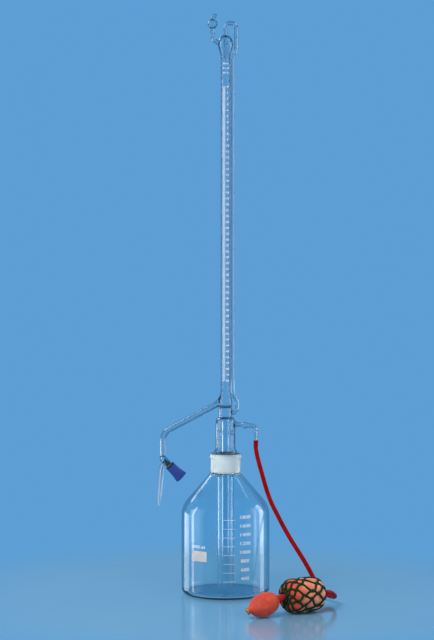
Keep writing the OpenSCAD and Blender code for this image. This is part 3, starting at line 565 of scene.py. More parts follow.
def make_piece(name, bm, material, body, replaces=(), sharp=35.0):
    """Turns a mesh under way into a piece that rides on a body."""
    bmesh.ops.recalc_face_normals(bm, faces=bm.faces)
    mesh = bpy.data.meshes.new(name)
    bm.to_mesh(mesh)
    bm.free()
    mesh.polygons.foreach_set("use_smooth", [True] * len(mesh.polygons))
    mesh.set_sharp_from_angle(angle=math.radians(sharp))
    mesh.materials.append(material)
    piece = bpy.data.objects.new(name, mesh)
    bpy.context.scene.collection.objects.link(piece)
    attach(piece, body)
    if replaces:
        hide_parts(*replaces)
    return piece


def smooth_modifier():
    """Geometry nodes that join a node's faces and shade shallow edges smooth."""
    name = "Smooth faces"
    tree = bpy.data.node_groups.get(name)
    if tree:
        return tree
    tree = bpy.data.node_groups.new(name, "GeometryNodeTree")
    for way in ("INPUT", "OUTPUT"):
        tree.interface.new_socket("Geometry", in_out=way, socket_type="NodeSocketGeometry")
    angle = add(tree, "GeometryNodeInputMeshEdgeAngle").outputs["Unsigned Angle"]
    limit = {"A": angle, "B": math.radians(28)}
    shallow = add(tree, "FunctionNodeCompare", limit, data_type="FLOAT", operation="LESS_THAN")
    shape = tree.nodes.new("NodeGroupInput").outputs["Geometry"]
    for kind, inputs, settings in (
        ("GeometryNodeRemoveAttribute", {"Name": "custom_normal"}, {}),
        ("GeometryNodeMergeByDistance", {"Distance": 0.001 * MM}, {}),
        ("GeometryNodeSetShadeSmooth", {"Shade Smooth": True}, {"domain": "FACE"}),
        ("GeometryNodeSetShadeSmooth", {"Shade Smooth": shallow.outputs["Result"]}, {"domain": "EDGE"}),
    ):
        shape = add(tree, kind, {"Geometry": shape, **inputs}, **settings).outputs["Geometry"]
    fill(tree.nodes.new("NodeGroupOutput"), {"Geometry": shape})
    return tree


def finish_nodes(material, *nodes):
    """Gives nodes of the frame their finish."""
    for node in nodes:
        piece = frame["nodes"][node]
        piece.data.materials.clear()
        piece.data.materials.append(material)
        piece.modifiers.new("Smooth faces", "NODES").node_group = smooth_modifier()


# Places on the pump


def hand_dip():
    """Slope at which the hand bulb hangs from the link and rests on the table.

    The egg's lowest point is then as low as the net's, which makes a square equation for the slope's sine.
    """
    square = HAND_AT**2 - HAND_HALF**2 + HAND_R**2
    half = NET_R * HAND_AT
    return math.asin((half - math.sqrt(half**2 - square * (NET_R**2 - HAND_R**2))) / square)


def pump_point(along):
    return PRESSURE_AT + Vector((math.cos(PUMP_TURN), math.sin(PUMP_TURN), 0)) * along


def pump_place(along, dip):
    """Turns what is drawn upright into the pump's axis, sloping down by an angle."""
    turn = Matrix.Rotation(PUMP_TURN, 4, "Z") @ Matrix.Rotation(math.radians(90) - dip, 4, "Y")
    return Matrix.Translation(pump_point(along)) @ turn


def barrel_point(angle, lift=0.0):
    """Radius and height on the pressure bulb's side, at an angle from its middle."""
    across = (abs(math.cos(angle)) / (PRESSURE_R + lift)) ** BARREL_POWER
    along = (abs(math.sin(angle)) / (PRESSURE_HALF + lift)) ** BARREL_POWER
    reach = (across + along) ** (-1 / BARREL_POWER)
    return reach * math.cos(angle), reach * math.sin(angle)


def neck_angle(neck):
    """Angle at which the pressure bulb narrows to a neck."""
    return math.atan2(PRESSURE_HALF * (1 - (neck / PRESSURE_R) ** BARREL_POWER) ** (1 / BARREL_POWER), neck)


def net_angles():
    """Angle of each quarter row of the net; the rows draw together towards the link."""
    fine = 2000
    end = neck_angle(NET_END_R)
    angles = [-end + 2 * end * i / fine for i in range(fine + 1)]
    points = [Vector(barrel_point(a)) for a in angles]
    runs = [0.0]
    for one, two in zip(points, points[1:]):
        runs.append(runs[-1] + (two - one).length)
    steps = 4 * NET_ROWS
    gather = 1.25
    return [angles[bisect.bisect_left(runs, runs[-1] * (i / steps) ** gather)] for i in range(steps + 1)]


NET_ANGLES = net_angles()


def net_angle(row):
    """Angle along the pressure bulb's side at a row of the net."""
    at = min(max(4 * row, 0), 4 * NET_ROWS)
    low = min(int(at), 4 * NET_ROWS - 1)
    return NET_ANGLES[low] + (NET_ANGLES[low + 1] - NET_ANGLES[low]) * (at - low)


def net_row(angle):
    """Row of the net at an angle along the pressure bulb's side."""
    low = min(max(bisect.bisect_left(NET_ANGLES, angle) - 1, 0), 4 * NET_ROWS - 1)
    return (low + (angle - NET_ANGLES[low]) / (NET_ANGLES[low + 1] - NET_ANGLES[low])) / 4


def net_pull(row, col):
    """How far the net is pulled out of its even rows and columns."""
    turn = math.tau * col / (4 * NET_AROUND)
    free = math.sin(math.pi * row / NET_ROWS)

    def pull(waves):
        return free * sum(size * math.sin(n * turn + slope * row + start) for size, n, slope, start in waves)

    return pull(NET_WAVES_ALONG), pull(NET_WAVES_ACROSS)


def net_place(row, col, lift):
    """A point over the pressure bulb, by rows from end to end and columns of a quarter cell."""
    along, across = net_pull(row, col)
    radius, height = barrel_point(net_angle(row + along), lift)
    turn = math.tau * (col + across) / (4 * NET_AROUND)
    return Vector((radius * math.cos(turn), radius * math.sin(turn), height))


# Route of the hose from the nipple to the pressure bulb, in millimetres
HOSE_ROUTE = [
    (49, 0, 246.7),
    (49, 0, 240),
    (49, 0, 233.7),
    (51.5, -1.5, 220),
    (55.5, -4.5, 205),
    (60.5, -8, 187),
    (66, -11.5, 168),
    (73, -16, 149),
    (82, -22.5, 131),
    (92, -29, 112),
    (102.5, -36.5, 94),
    (114, -44, 76),
    (125.5, -52, 58),
    (135, -58.5, 41),
    (142, -63, 27.5),
    (148.5, -67.5, 18.5),
    (155.5, -73.5, 13),
    (162, -81, 10.8),
    (166.5, -89.5, 11),
    (168.35, -98.5, 13),
    (167.5, -107.5, 16.3),
    (164, -116, 20.3),
    (159, -124.5, 24),
    (153, -132.3, 25.6),
]


def unlit(name):
    """A collection of pieces that some lamps leave unlit."""
    return bpy.data.collections.get(name) or bpy.data.collections.new(name)


def add_unlit(group, piece):
    group.objects.link(piece)
    group.collection_objects[-1].light_linking.link_state = "EXCLUDE"


class BURETTE_OT_stage(bpy.types.Operator):
    """Make the camera, the floor, the backdrop and the lights"""

    bl_idname = "burette.stage"
    bl_label = "Stage"

    def execute(self, context):
        stage = context.scene.burette_stage
        context.scene.view_settings.view_transform = "Standard"
        self.camera(context, stage)
        self.backdrop(context, stage)
        # The boxes leave the floor unlit, and the other lights the glass
        boxes, lights = unlit("unlit by boxes"), unlit("unlit by lights")
        add_unlit(boxes, self.floor(context, stage))
        for name, place, aim, size, power, is_box in (
            ("left_box", (-2.39, 0.17, 0.5), (0, 0, 0.5), (0.35, 2.2), 10.5, True),
            ("left_soft_box", (-2.32, -0.62, 0.5), (0, 0, 0.5), (1.2, 2.2), 4.5, True),
            ("left_rim_box", (-2.10, 1.36, -0.2), (0, 0, -0.2), (1.15, 0.8), 6.0, True),
            ("right_box", (2.27, 0.78, 0.5), (0, 0, 0.5), (0.75, 2.2), 15.0, True),
            ("right_soft_box", (2.4, -0.08, 0.5), (0, 0, 0.5), (0.9, 2.2), 6.0, True),
            ("top_left_box", (-2.2, 3.34, 2.53), (0, 0, 0.22), (1.5, 1.4), 13.0, True),
            ("top_box", (-1.2, 0.45, 2.39), (0, 0, 0.22), (0.35, 0.35), 0.8, True),
            ("top_right_box", (1.32, 0.72, 2.25), (0, 0, 0.22), (0.7, 0.7), 2.6, True),
            ("key_box", (-1.5, -2.0, 2.6), (0, 0, 0.3), (1.2, 1.2), 68.0, False),
            ("fill_box", (1.6, -2.4, 0.6), (0, 0, 0.2), (1.6, 1.0), 14.0, False),
        ):
            lamp = self.lamp(context, name, Vector(place), Vector(aim), size, power)
            lamp.light_linking.receiver_collection = boxes if is_box else lights
            lamp.visible_glossy = name != "fill_box"
        cycles = context.scene.cycles
        cycles.max_bounces = 40
        cycles.transmission_bounces = 36
        cycles.transparent_max_bounces = 40
        cycles.sample_clamp_indirect = 2.0
        return {"FINISHED"}

    def camera(self, context, stage):
        data = bpy.data.cameras.new("camera")
        data.lens = stage.lens
        data.clip_end = 100.0
        camera = bpy.data.objects.new("camera", data)
        camera.location = (stage.eye_side, -stage.eye_distance, stage.eye_height)
        camera.rotation_euler = (math.radians(90), 0, 0)
        context.scene.collection.objects.link(camera)
        context.scene.camera = camera

    def backdrop(self, context, stage):
        """A pale world that shows as it is, and lights the object more softly."""
        soft_white, soft_strength = (1.0, 0.98, 0.95, 1.0), 0.55
        world = bpy.data.worlds.new("studio")
        world.use_nodes = True
        tree = world.node_tree
        shown = tree.nodes["Background"]
        fill(shown, {"Color": stage.backdrop})
        soft = add(tree, "ShaderNodeBackground", {"Color": soft_white, "Strength": soft_strength})
        rays = add(tree, "ShaderNodeLightPath").outputs
        seen = rays["Is Camera Ray"]
        for ray in ("Is Glossy Ray", "Is Transmission Ray"):
            seen = add(tree, "ShaderNodeMath", {0: seen, 1: rays[ray]}, operation="MAXIMUM").outputs["Value"]
        light = mix_shaders(tree, seen, soft.outputs["Background"], shown.outputs["Background"])
        fill(tree.nodes["World Output"], {"Surface": light})
        context.scene.world = world

    def floor(self, context, stage):
        """A glossy pale floor that fades into the backdrop."""
        near, far = 0.28, 0.62
        material, tree, shader = new_material("floor")
        light, dark = shaded(stage.floor, 1.02), shaded(stage.floor, 0.98)
        mottle = place_group(tree, "Mottle", Light=light, Dark=dark, Scale=4.0)
        smudges = place_group(tree, "Smudges", Least=0.10, Most=0.16, Scale=3.0)
        fill(shader, {"Base Color": mottle["Colour"], "Roughness": smudges["Roughness"]})
        fill(shader, {"Specular IOR Level": 0.6})
        reach = add(tree, "ShaderNodeVectorMath", {0: object_place(tree)}, operation="LENGTH")
        fade = ramp(tree, reach.outputs["Value"], near, far)
        open_air = add(tree, "ShaderNodeBsdfTransparent")
        surface = mix_shaders(tree, fade, shader.outputs["BSDF"], open_air.outputs["BSDF"])
        fill(tree.nodes["Material Output"], {"Surface": surface})
        bm = bmesh.new()
        bmesh.ops.create_circle(bm, cap_ends=True, segments=96, radius=far)
        mesh = bpy.data.meshes.new("floor")
        bm.to_mesh(mesh)
        bm.free()
        mesh.materials.append(material)
        floor = bpy.data.objects.new("floor", mesh)
        floor.visible_glossy = False
        context.scene.collection.objects.link(floor)
        return floor

    def lamp(self, context, name, place, aim, size, power):
        data = bpy.data.lights.new(name, "AREA")
        data.shape = "RECTANGLE"
        data.size, data.size_y = size
        data.energy = power
        lamp = bpy.data.objects.new(name, data)
        lamp.location = place
        lamp.rotation_euler = (aim - place).to_track_quat("-Z", "Y").to_euler()
        lamp.visible_camera = False
        context.scene.collection.objects.link(lamp)
        return lamp


class BURETTE_OT_hose(bpy.types.Operator):
    """Lay the hose from the nipple to the pressure bulb"""

    bl_idname = "burette.hose"
    bl_label = "Hose"

    def execute(self, context):
        pump = context.scene.burette_pump
        on_nipple, taper, stretch, bore = 12 * MM, 3 * MM, 0.3 * MM, 1.9 * MM
        end = 1 * MM
        route = [Vector(p) * MM for p in HOSE_ROUTE]
        route += [pump_point(PRESSURE_HALF + along) for along in (HOSE_NECK, end)]
        path = smooth_path(route, per_span=5)
        radii = []
        bores = []
        for point in path:
            share = min(1.0, max(0.0, (route[0].z - on_nipple - point.z) / taper + 1))
            radii.append(pump.hose_d / 2 + stretch * (1 - share))
            bores.append(pump.nipple_d / 2 + (bore - pump.nipple_d / 2) * share)
        bm = bmesh.new()
        add_tube(bm, path, radii, sides=24, bores=bores)
        material = rubber_material("red hose", context.scene.burette_colours.hose, shine=0.06)
        hose = make_piece("hose_tube", bm, material, "hand_pump", ("hose",), sharp=50.0)
        return {"FINISHED"}


class BURETTE_OT_glass(bpy.types.Operator):
    """Give the bottle and the head their glass, and draw the long tubes"""

    bl_idname = "burette.glass"
    bl_label = "Glass"

    def execute(self, context):
        glass = context.scene.burette_glass
        tints = (glass.clear, glass.edge)
        # Each dark range sets where the painted edge shade begins and where it is full, as a share of the
        # facing
        clear = glass_material("clear glass", *tints, dark=(0.16, 0.66))
        thin = glass_material("thin glass", *tints, dark=(0.06, 0.56))
        inner = glass_material("inner glass", *tints, dark=(0.5, 1.0))
        jet = glass_material("jet glass", glass.jet, glass.edge, dark=(0.3, 0.8), rough=0.4)
        joint_r = 20.5 * MM
        band = (JOINT_LOW, RIM_Z, joint_r)
        bottle = glass_material("bottle glass", glass.bottle, glass.edge, dark=(0.58, 0.86), band=band)
        ground = glass_material("ground glass", *tints, dark=(0.3, 0.8), band=band)
        finish_nodes(clear, "jacket_tube", "filling_chamber", "overflow_bulb", "vent_bulb", "inlet_bulb")
        finish_nodes(
            thin, "zero_tip", "vent_tube", "vent_tip", "delivery_arm", "valve_barrel", "air_arm",
            "hose_nipple",
        )
        finish_nodes(inner, "guard_tube", "dip_tube")
        finish_nodes(jet, "jet_tip")
        finish_nodes(bottle, "reservoir_bottle")
        finish_nodes(ground, "ground_cone")
        self.socket_face(context.scene.burette_colours)
        self.measuring_tube(glass, clear)
        self.filling_tube(glass, thin)
        for piece in bpy.data.objects:
            if piece.type == "MESH" and any("glass" in slot.name for slot in piece.material_slots):
                add_unlit(unlit("unlit by lights"), piece)
        return {"FINISHED"}

    def socket_face(self, colours):
        """The matt ground face of the bottle's socket, seen through the neck."""
        skin, depth, clear_rim = 0.1 * MM, 0.04 * MM, 0.5 * MM
        low_r, high_r = 18.55 * MM + depth, 20 * MM + depth
        low, high = JOINT_LOW + clear_rim, RIM_Z - clear_rim
        bm = bmesh.new()
        add_lathe(bm, [(low_r, low), (low_r + skin, low), (high_r + skin, high), (high_r, high)], segments=96)
        white = solid_material(
            "ground face", colours.ground, 0.05, (0.6, 0.8), bump=0.4, grain=3000.0, scale=50.0
        )
        make_piece("socket_ground_face", bm, white, "reservoir")

    def measuring_tube(self, glass, clear):
        r = glass.tube_d / 2
        bore = glass.tube_bore / 2
        wall = r - bore
        inner = BELL_R - wall
        round_r, inner_round, side = 4 * MM, 3 * MM, 8 * MM
        outline = [(0, BELL_Z)]
        outline += arc((BELL_R - round_r, BELL_Z + round_r), round_r, -90, 0, 10)
        outline += ease(BELL_R, BELL_Z + side, r, BELL_Z + glass.bell_h, 24)
        outline += [(r, BULB_Z), (bore, BULB_Z)]
        outline += ease(bore, BELL_Z + glass.bell_h, inner, BELL_Z + side, 24)
        outline += arc((inner - inner_round, BELL_Z + wall + inner_round), inner_round, 0, -90, 8)
        outline += [(0, BELL_Z + wall)]
        bm = bmesh.new()
        add_lathe(bm, outline, segments=64)
        make_piece("measuring_tube_glass", bm, clear, "burette_head", ("measuring_tube",))

    def filling_tube(self, glass, clear):
        r = glass.fill_d / 2
        root, bend, low_rest, top_rest = 6.5 * MM, math.radians(30), 8 * MM, 4 * MM
        out_x = FILL_HIGH.x - r
        in_x = glass.tube_d / 2 + glass.fill_gap + r
        start = Vector((CHAMBER_HIGH.x, 0, (CHAMBER_LOW.z + CHAMBER_HIGH.z) / 2))

        def shift(off):
            """Radius, straight middle and rise of an S-bend."""
            each_bend, between = 0.35, 0.3
            radius = each_bend * off / (1 - math.cos(bend))
            middle = between * off / math.sin(bend)
            return radius, middle, 2 * radius * math.sin(bend) + middle * math.cos(bend)

        low_r, low_run, low_rise = shift(out_x - in_x)
        top_r, top_run, top_rise = shift(2 * glass.loop_r - in_x)
        loop_z = FILL_HIGH.z - r - glass.loop_r
        low_end = start.z + root + low_rest + low_rise
        top_start = BULB_Z - top_rest
        path = bent_path(
            start,
            math.radians(90),
            [
                (out_x - root - start.x, math.radians(-90), root),
                (low_rest, -bend, low_r),
                (low_run, bend, low_r),
                (top_start - low_end, bend, top_r),
                (top_run, -bend, top_r),
                (loop_z - top_start - top_rise, math.radians(-180), glass.loop_r),
                (loop_z - BULB_TOP, 0, 0),
            ],
        )
        bm = bmesh.new()
        add_tube(bm, path, [r] * len(path), sides=28, bores=[glass.fill_bore / 2] * len(path))
        make_piece("filling_tube_glass", bm, clear, "burette_head", ("filling_tube",))


class BURETTE_OT_tube_scale(bpy.types.Operator):
    """Print the scale on the measuring tube"""

    bl_idname = "burette.tube_scale"
    bl_label = "Tube scale"

    def execute(self, context):
        marks = context.scene.burette_print
        r = context.scene.burette_glass.tube_d / 2
        ink = solid_material("white print", marks.white, spread=0.03, rough=(0.45, 0.6), bump=0.1)
        width = 0.32 * MM
        tenths, steps = 10, 6
        head_low, head_high = marks.zero_z + 7.9 * MM, marks.zero_z + 8.3 * MM
        # How far the numerals drop below their marks, how wide and bold they are, and places in degrees
        drop, wide, bold, numerals_at, words_at = 0.34, 1.2, 0.015, 26, 4
        # Where the marks begin and end, in degrees from the front
        zero, whole, half, tenth, head_line = (-74, 4), (-50, 3), (-42, -2), (-35, -3), (-74, -30)
        bm = bmesh.new()
        for i in range(marks.tube_volume * tenths + 1):
            z = marks.zero_z - marks.per_ml * i / tenths
            if i == 0:
                span = zero
            elif i % tenths == 0:
                span = whole
            else:
                span = tenth if i % (tenths // 2) else half
            add_strip(bm, r, marks.film, z - width / 2, z + width / 2, *span, steps)
        add_strip(bm, r, marks.film, head_low, head_high, *head_line, steps)
        make_piece("tube_marks", bm, ink, "burette_head")
        bm = bmesh.new()
        for i in range(marks.tube_volume + 1):
            z = marks.zero_z - marks.per_ml * i - marks.tube_numeral * drop
            add_words(bm, str(i), marks.tube_numeral, r, marks.film, numerals_at, z, wide, bold)
        for words, z in ((f"{marks.tube_volume} ml", 852), ("0.1 ml", 844.5), ("20 °C", 837)):
            add_words(bm, words, marks.tube_numeral * 0.9, r, marks.film, words_at, z * MM)
        make_piece("tube_numerals", bm, ink, "burette_head")
        return {"FINISHED"}


class BURETTE_OT_bottle_print(bpy.types.Operator):
    """Print the volume marks and the writing patch on the bottle"""

    bl_idname = "burette.bottle_print"
    bl_label = "Bottle print"

    def execute(self, context):
        marks = context.scene.burette_print
        ink = solid_material("bottle print", marks.white, spread=0.05, rough=(0.45, 0.6), bump=0.1)
        pale = solid_material("writing patch", marks.patch, spread=0.08, rough=(0.6, 0.75), bump=0.3)
        width, rise, full_z = 0.38 * MM, 2 * MM, 81 * MM
        patch_low, patch_high = 60.5 * MM, 76.5 * MM
        full, first, step = 2000, 400, 200
        # Places on the wall, in degrees from the front
        lines, patch, numerals_at, full_at = (-3.2, 12.2), (-48.5, -25), 25.5, -37.5
        wall = (BOTTLE_R, marks.film)
        bm = bmesh.new()
        for volume in range(first, full, step):
            z = marks.bottle_zero + marks.bottle_per_litre * volume / 1000
            add_strip(bm, *wall, z - width / 2, z + width / 2, *lines, steps=8)
            add_words(bm, str(volume), marks.bottle_numeral, *wall, numerals_at, z + rise, wide=1.35)
        add_words(bm, f"{full} ml", marks.bottle_numeral * 0.95, *wall, full_at, full_z, wide=1.1)
        make_piece("bottle_marks", bm, ink, "reservoir")
        bm = bmesh.new()
        add_strip(bm, *wall, patch_low, patch_high, *patch, steps=16)
        make_piece("writing_patch", bm, pale, "reservoir")
        return {"FINISHED"}


class BURETTE_OT_valve(bpy.types.Operator):
    """Finish the valve, its knob and the joint sleeve"""

    bl_idname = "burette.valve"
    bl_label = "Valve and sleeve"

    def execute(self, context):
        colours = context.scene.burette_colours
        gloss = {"Specular IOR Level": 0.7, "Coat Weight": 0.5, "Coat Roughness": 0.15}
        blue = solid_material(
            "blue plastic", colours.knob, 0.1, (0.24, 0.36), bump=0.15, grain=900.0, scale=60.0, finish=gloss
        )
        finish_nodes(blue, "valve_knob")
        finish_nodes(self.sleeve(colours), "joint_sleeve")
        finish_nodes(self.spindle(colours), "valve_spindle")
        black = solid_material("black rubber", colours.ring, spread=0.2, rough=(0.4, 0.55), bump=0.2)
        finish_nodes(black, "stop_ring", "spindle_o_rings")
        return {"FINISHED"}

    def plastic(self, name, colours, finish=None):
        return solid_material(
            name, colours.ptfe, 0.03, (0.36, 0.48), bump=0.1, grain=1200.0, scale=40.0, finish=finish
        )

    def sleeve(self, colours):
        """White plastic with a painted shadow: a dark band at its top, where it lies on the bottle's rim."""
        ring = 3.4 * MM
        depth = (2 * MM, 2 * MM, 2 * MM)
        milky = {"Subsurface Weight": 0.25, "Subsurface Radius": depth, "Subsurface Scale": 1.0}
        material = self.plastic("white fluoroplastic", colours, milky)
        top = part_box("joint_sleeve")[1].z
        height = place_group(material.node_tree, "Along", Axis=(0, 0, 1))["Along"]
        # Painted shadow: the sleeve's top band turns dark where it meets the bottle's rim
        tint(material, ramp(material.node_tree, height, top - ring, top - ring / 2), colours.rim)
        return material

    def spindle(self, colours):
        """White plastic with a black stem between its nose and the ring."""
        stem, off = 5.5 * MM, 7.5 * MM
        axis = Vector((1, 0, -1)).normalized()
        low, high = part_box("stop_ring")
        middle = (low + high).dot(axis) / 2 - off
        material = self.plastic("spindle plastic", colours)
        tree = material.node_tree
        along = place_group(tree, "Along", Axis=axis)["Along"]
        inside = add(tree, "ShaderNodeMath", {0: along, 1: middle, 2: stem}, operation="COMPARE")
        tint(material, inside.outputs["Value"], colours.ring)
        return material


class BURETTE_OT_pressure_bulb(bpy.types.Operator):
    """Swell the pressure bulb and knot its net"""

    bl_idname = "burette.pressure_bulb"
    bl_label = "Pressure bulb and net"

    def execute(self, context):
        pump = context.scene.burette_pump
        colours = context.scene.burette_colours
        self.bulb(pump, self.stretched(colours))
        self.net(pump, cord_material("green cord", colours.cord))
        return {"FINISHED"}

    def stretched(self, colours):
        """Rubber that is redder towards the link, where it is stretched less."""
        material = rubber_material("pink rubber", colours.pressure)
        axis = pump_point(1.0) - pump_point(0.0)
        middle = PRESSURE_AT.dot(axis)
        along = place_group(material.node_tree, "Along", Axis=axis)["Along"]
        tint(material, ramp(material.node_tree, along, middle, middle - PRESSURE_HALF), colours.slack)
        return material

    def bulb(self, pump, rubber):
        """Rubber that the cords press in and that swells between them."""
        steps = 132
        neck = neck_angle(NECK_R)
        sides = [-neck + 2 * neck * i / steps for i in range(steps + 1)]
        hose_end = PRESSURE_HALF + HOSE_NECK
        link_end, link_deep = LINK_AT + 4 * MM, LINK_AT + 6 * MM
        taper, bevel, bevel_h = 0.3 * MM, 1 * MM, 1.2 * MM
        hose_r = pump.hose_d / 2
        outline = [(LINK_R, link_end), (NECK_R, link_end)]
        outline += [barrel_point(a) for a in sides]
        outline += [(NECK_R - taper, hose_end - bevel_h), (NECK_R - bevel, hose_end)]
        outline += [(hose_r, hose_end), (hose_r, PRESSURE_HALF), (LINK_R, link_deep)]
        heights = [barrel_point(a)[1] for a in sides]
        pressed, fullness, per_quarter = 0.8 * MM, 0.6, 5

        def swell(turn, radius, height):
            if not heights[1] < height < heights[-2] or radius < NECK_R:
                return 0.0
            row = net_row(math.atan2(height, radius))
            col = 4 * NET_AROUND * turn / math.tau
            if not 0 < row < NET_ROWS:
                return 0.0
            along, aside = net_pull(row, col)
            row, col = row - along, col - aside
            across = abs(math.sin(math.pi * (row + col) / 4) * math.sin(math.pi * (row - col) / 4))
            return pump.bulge * across**fullness - pressed

        bm = bmesh.new()
        add_lathe(bm, outline, pump_place(0.0, 0.0), per_quarter * 4 * NET_AROUND, swell)
        make_piece(
            "pressure_bulb_rubber", bm, rubber, "hand_pump", ("pressure_bulb",), sharp=60.0
        )

    def net(self, pump, cotton):
        """Two families of cords that wind round the bulb both ways, with a knot at each crossing."""
        r = pump.cord_d / 2
        lift = NET_R - PRESSURE_R - r
        place = pump_place(0.0, 0.0)
        per_cell, lean = 10, 0.75
        height = PRESSURE_HALF + lift
        # How far out and how far along the cords lie where they are gathered
        gather = [(1.6 * MM, 0.0), (0.5 * MM, 0.7 * MM), (0.0, 2.4 * MM)]
        bm = bmesh.new()
        for start in range(NET_AROUND):
            for way in (1, -1):
                path = []
                for i in range(NET_ROWS * per_cell // 2 + 1):
                    row = 2 * i / per_cell
                    share = row / 2 - math.floor(row / 2)
                    eased = math.floor(row / 2) + share - lean * math.sin(math.tau * share) / math.tau
                    path.append(net_place(row, 4 * start + way * 2 * eased, lift))
                for end, sign, neck_r in ((0, -1, LINK_R), (-1, 1, NECK_R)):
                    turn = math.atan2(path[end].y, path[end].x)
                    out = Vector((math.cos(turn), math.sin(turn), 0))
                    close = neck_r + 0.7 * r
                    neck = [
                        out * (close + wide) + Vector((0, 0, sign * (height + high))) for wide, high in gather
                    ]
                    path = neck[::-1] + path if end == 0 else path + neck
                self.cord(bm, place, path, r)
        for row in range(2, NET_ROWS, 2):
            for i in range(NET_AROUND):
                self.knot(bm, place, row, 4 * i + row % 4, lift, r)
        make_piece("net_cords", bm, cotton, "hand_pump", ("bulb_net",), sharp=60.0)
        self.ties(pump, cotton, place)

    def cord(self, bm, place, path, r):
        add_tube(bm, [place @ p for p in path], [r] * len(path), sides=8)

    def knot(self, bm, place, row, col, lift, r):
        """A short turn of cord round a crossing."""
        middle = net_place(row, col, lift)
        near, thin = 0.3, 0.7
        along = (net_place(row + near, col, lift) - net_place(row - near, col, lift)).normalized()
        side = (net_place(row, col + near, lift) - net_place(row, col - near, lift)).normalized()
        out = side.cross(along)
        points, turns = 14, 1.15
        wide, high, climb = 1.2 * r, 0.3 * r, 1.1 * r
        path = []
        for k in range(points + 1):
            a = math.tau * turns * k / points
            loop = side * wide * math.cos(a) + out * high * math.sin(a)
            path.append(middle + loop + along * climb * (k / points - 0.5))
        self.cord(bm, place, path, thin * r)

    def ties(self, pump, cotton, place):
        """A few turns of cord that gather the net on the link and on the hose's neck."""
        r = 0.3 * pump.cord_d
        turns, steps = 3, 90
        bm = bmesh.new()
        for sign, neck_r in ((-1, LINK_R), (1, NECK_R)):
            wide = neck_r + 0.6 * pump.cord_d + r
            low = PRESSURE_HALF + 1.6 * MM
            path = []
            for k in range(steps + 1):
                a = math.tau * turns * k / steps
                high = low + 1.1 * r * turns * k / steps
                path.append(Vector((wide * math.cos(a), wide * math.sin(a), sign * high)))
            self.cord(bm, place, path, r)
        make_piece("net_tie_cords", bm, cotton, "hand_pump", ("net_ties",), sharp=60.0)


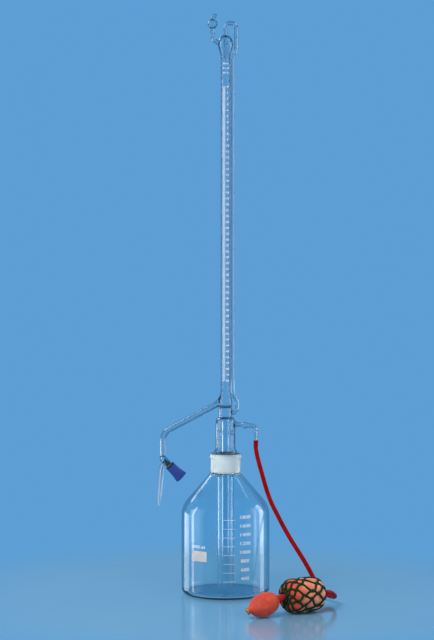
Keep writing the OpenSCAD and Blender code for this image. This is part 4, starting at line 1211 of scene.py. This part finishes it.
class BURETTE_OT_hand_bulb(bpy.types.Operator):
    """Mould the hand bulb and the link, and finish the check valves"""

    bl_idname = "burette.hand_bulb"
    bl_label = "Hand bulb"

    def execute(self, context):
        colours = context.scene.burette_colours
        red = rubber_material("red rubber", colours.hand)
        metal = {"Metallic": 1.0}
        brass = solid_material(
            "brass", colours.brass, 0.06, (0.42, 0.56), bump=0.05, grain=3000.0, scale=200.0, finish=metal
        )
        self.bulb(red)
        self.link(rubber_material("link rubber", colours.link))
        for valve in ("inlet_valve", "outlet_valve"):
            finish_nodes(brass, f"{valve}_body", f"{valve}_ball")
        return {"FINISHED"}

    def bulb(self, red):
        """An egg with a nozzle and a fine parting line."""
        nozzle, plug, waist, flare, lip_r = 5.4 * MM, 4.2 * MM, 4.9 * MM, 5.6 * MM, 0.8 * MM
        foot = -HAND_AT - HAND_HALF
        lip = foot - 5 * MM
        steps = 60
        start, end = -math.acos(nozzle / HAND_R), math.acos(NECK_R / HAND_R)
        angles = [start + (end - start) * i / steps for i in range(steps + 1)]
        egg = [(HAND_R * math.cos(a), -HAND_AT + HAND_HALF * math.sin(a)) for a in angles]
        outline = [(plug, lip)]
        outline += arc((flare - lip_r, lip + lip_r), lip_r, -90, 0, 5)
        outline += [(flare, lip + 2 * lip_r), (waist, lip + 3 * MM)]
        outline += [(waist, foot - 0.4 * MM), (nozzle - 0.1 * MM, foot + 0.7 * MM)]
        outline += egg
        outline += [(plug, egg[-1][1])]
        parting, parting_w, begin = 0.22 * MM, 0.5 * MM, nozzle + 0.5 * MM

        def swell(turn, radius, height):
            if radius < begin:
                return 0.0
            off = abs(math.sin(turn)) * radius
            return parting * (math.exp(-((off / parting_w) ** 2)) - 1)

        bm = bmesh.new()
        add_lathe(bm, outline, pump_place(LINK_AT, hand_dip()), 144, swell)
        make_piece("hand_bulb_rubber", bm, red, "hand_pump", ("hand_bulb",), sharp=55.0)

    def link(self, red):
        """A short rubber tube that swells to a collar on the hand bulb."""
        bend_r, bore, before, after = 30 * MM, 3.2 * MM, 4 * MM, 10 * MM
        dip = hand_dip()
        tangent = bend_r * math.tan(dip / 2)
        # Places along the tube and its radius there, in millimetres
        collar = [(-11.6, 6.3), (-10.6, 6.1), (-9, 5.9), (-6, 5.9), (-4.9, 6.1), (-4.4, 5.9), (-4.1, 5.3)]
        path = [Vector((0, 0, z * MM)) for z, _ in collar]
        radii = [r * MM for _, r in collar]
        tube = bent_path((0, 0, -before), 0.0, [(before - tangent, dip, bend_r), (after - tangent, 0, 0)])
        place = pump_place(LINK_AT, dip)
        bm = bmesh.new()
        radii += [LINK_R] * len(tube)
        add_tube(bm, [place @ p for p in path + tube], radii, sides=36, bores=[bore] * len(radii))
        make_piece("bulb_link_rubber", bm, red, "hand_pump", ("bulb_link",), sharp=55.0)


class BURETTE_PT_panel(bpy.types.Panel):
    """Shows the burette's operators and their settings"""

    bl_idname = "BURETTE_PT_panel"
    bl_label = "Automatic burette"
    bl_space_type = "VIEW_3D"
    bl_region_type = "UI"
    bl_category = "Burette"

    def draw(self, context):
        for operator in OPERATORS:
            self.layout.operator(operator.bl_idname)
        for name in GROUPS:
            settings = getattr(context.scene, name)
            box = self.layout.box()
            for key in settings.__annotations__:
                box.prop(settings, key)


OPERATORS = (
    BURETTE_OT_stage,
    BURETTE_OT_hose,
    BURETTE_OT_glass,
    BURETTE_OT_tube_scale,
    BURETTE_OT_bottle_print,
    BURETTE_OT_valve,
    BURETTE_OT_pressure_bulb,
    BURETTE_OT_hand_bulb,
)
GROUPS = {
    "burette_stage": BuretteStage,
    "burette_glass": BuretteGlass,
    "burette_print": BurettePrint,
    "burette_pump": BurettePump,
    "burette_colours": BuretteColours,
}


def register():
    for cls in (*GROUPS.values(), *OPERATORS, BURETTE_PT_panel):
        bpy.utils.register_class(cls)
    for name, cls in GROUPS.items():
        setattr(bpy.types.Scene, name, bpy.props.PointerProperty(type=cls))


def unregister():
    for name in GROUPS:
        delattr(bpy.types.Scene, name)
    for cls in (BURETTE_PT_panel, *OPERATORS[::-1], *GROUPS.values()):
        bpy.utils.unregister_class(cls)


def main():
    register()
    for operator in OPERATORS:
        family, name = operator.bl_idname.split(".")
        getattr(getattr(bpy.ops, family), name)()


if __name__ == "__main__":
    main()
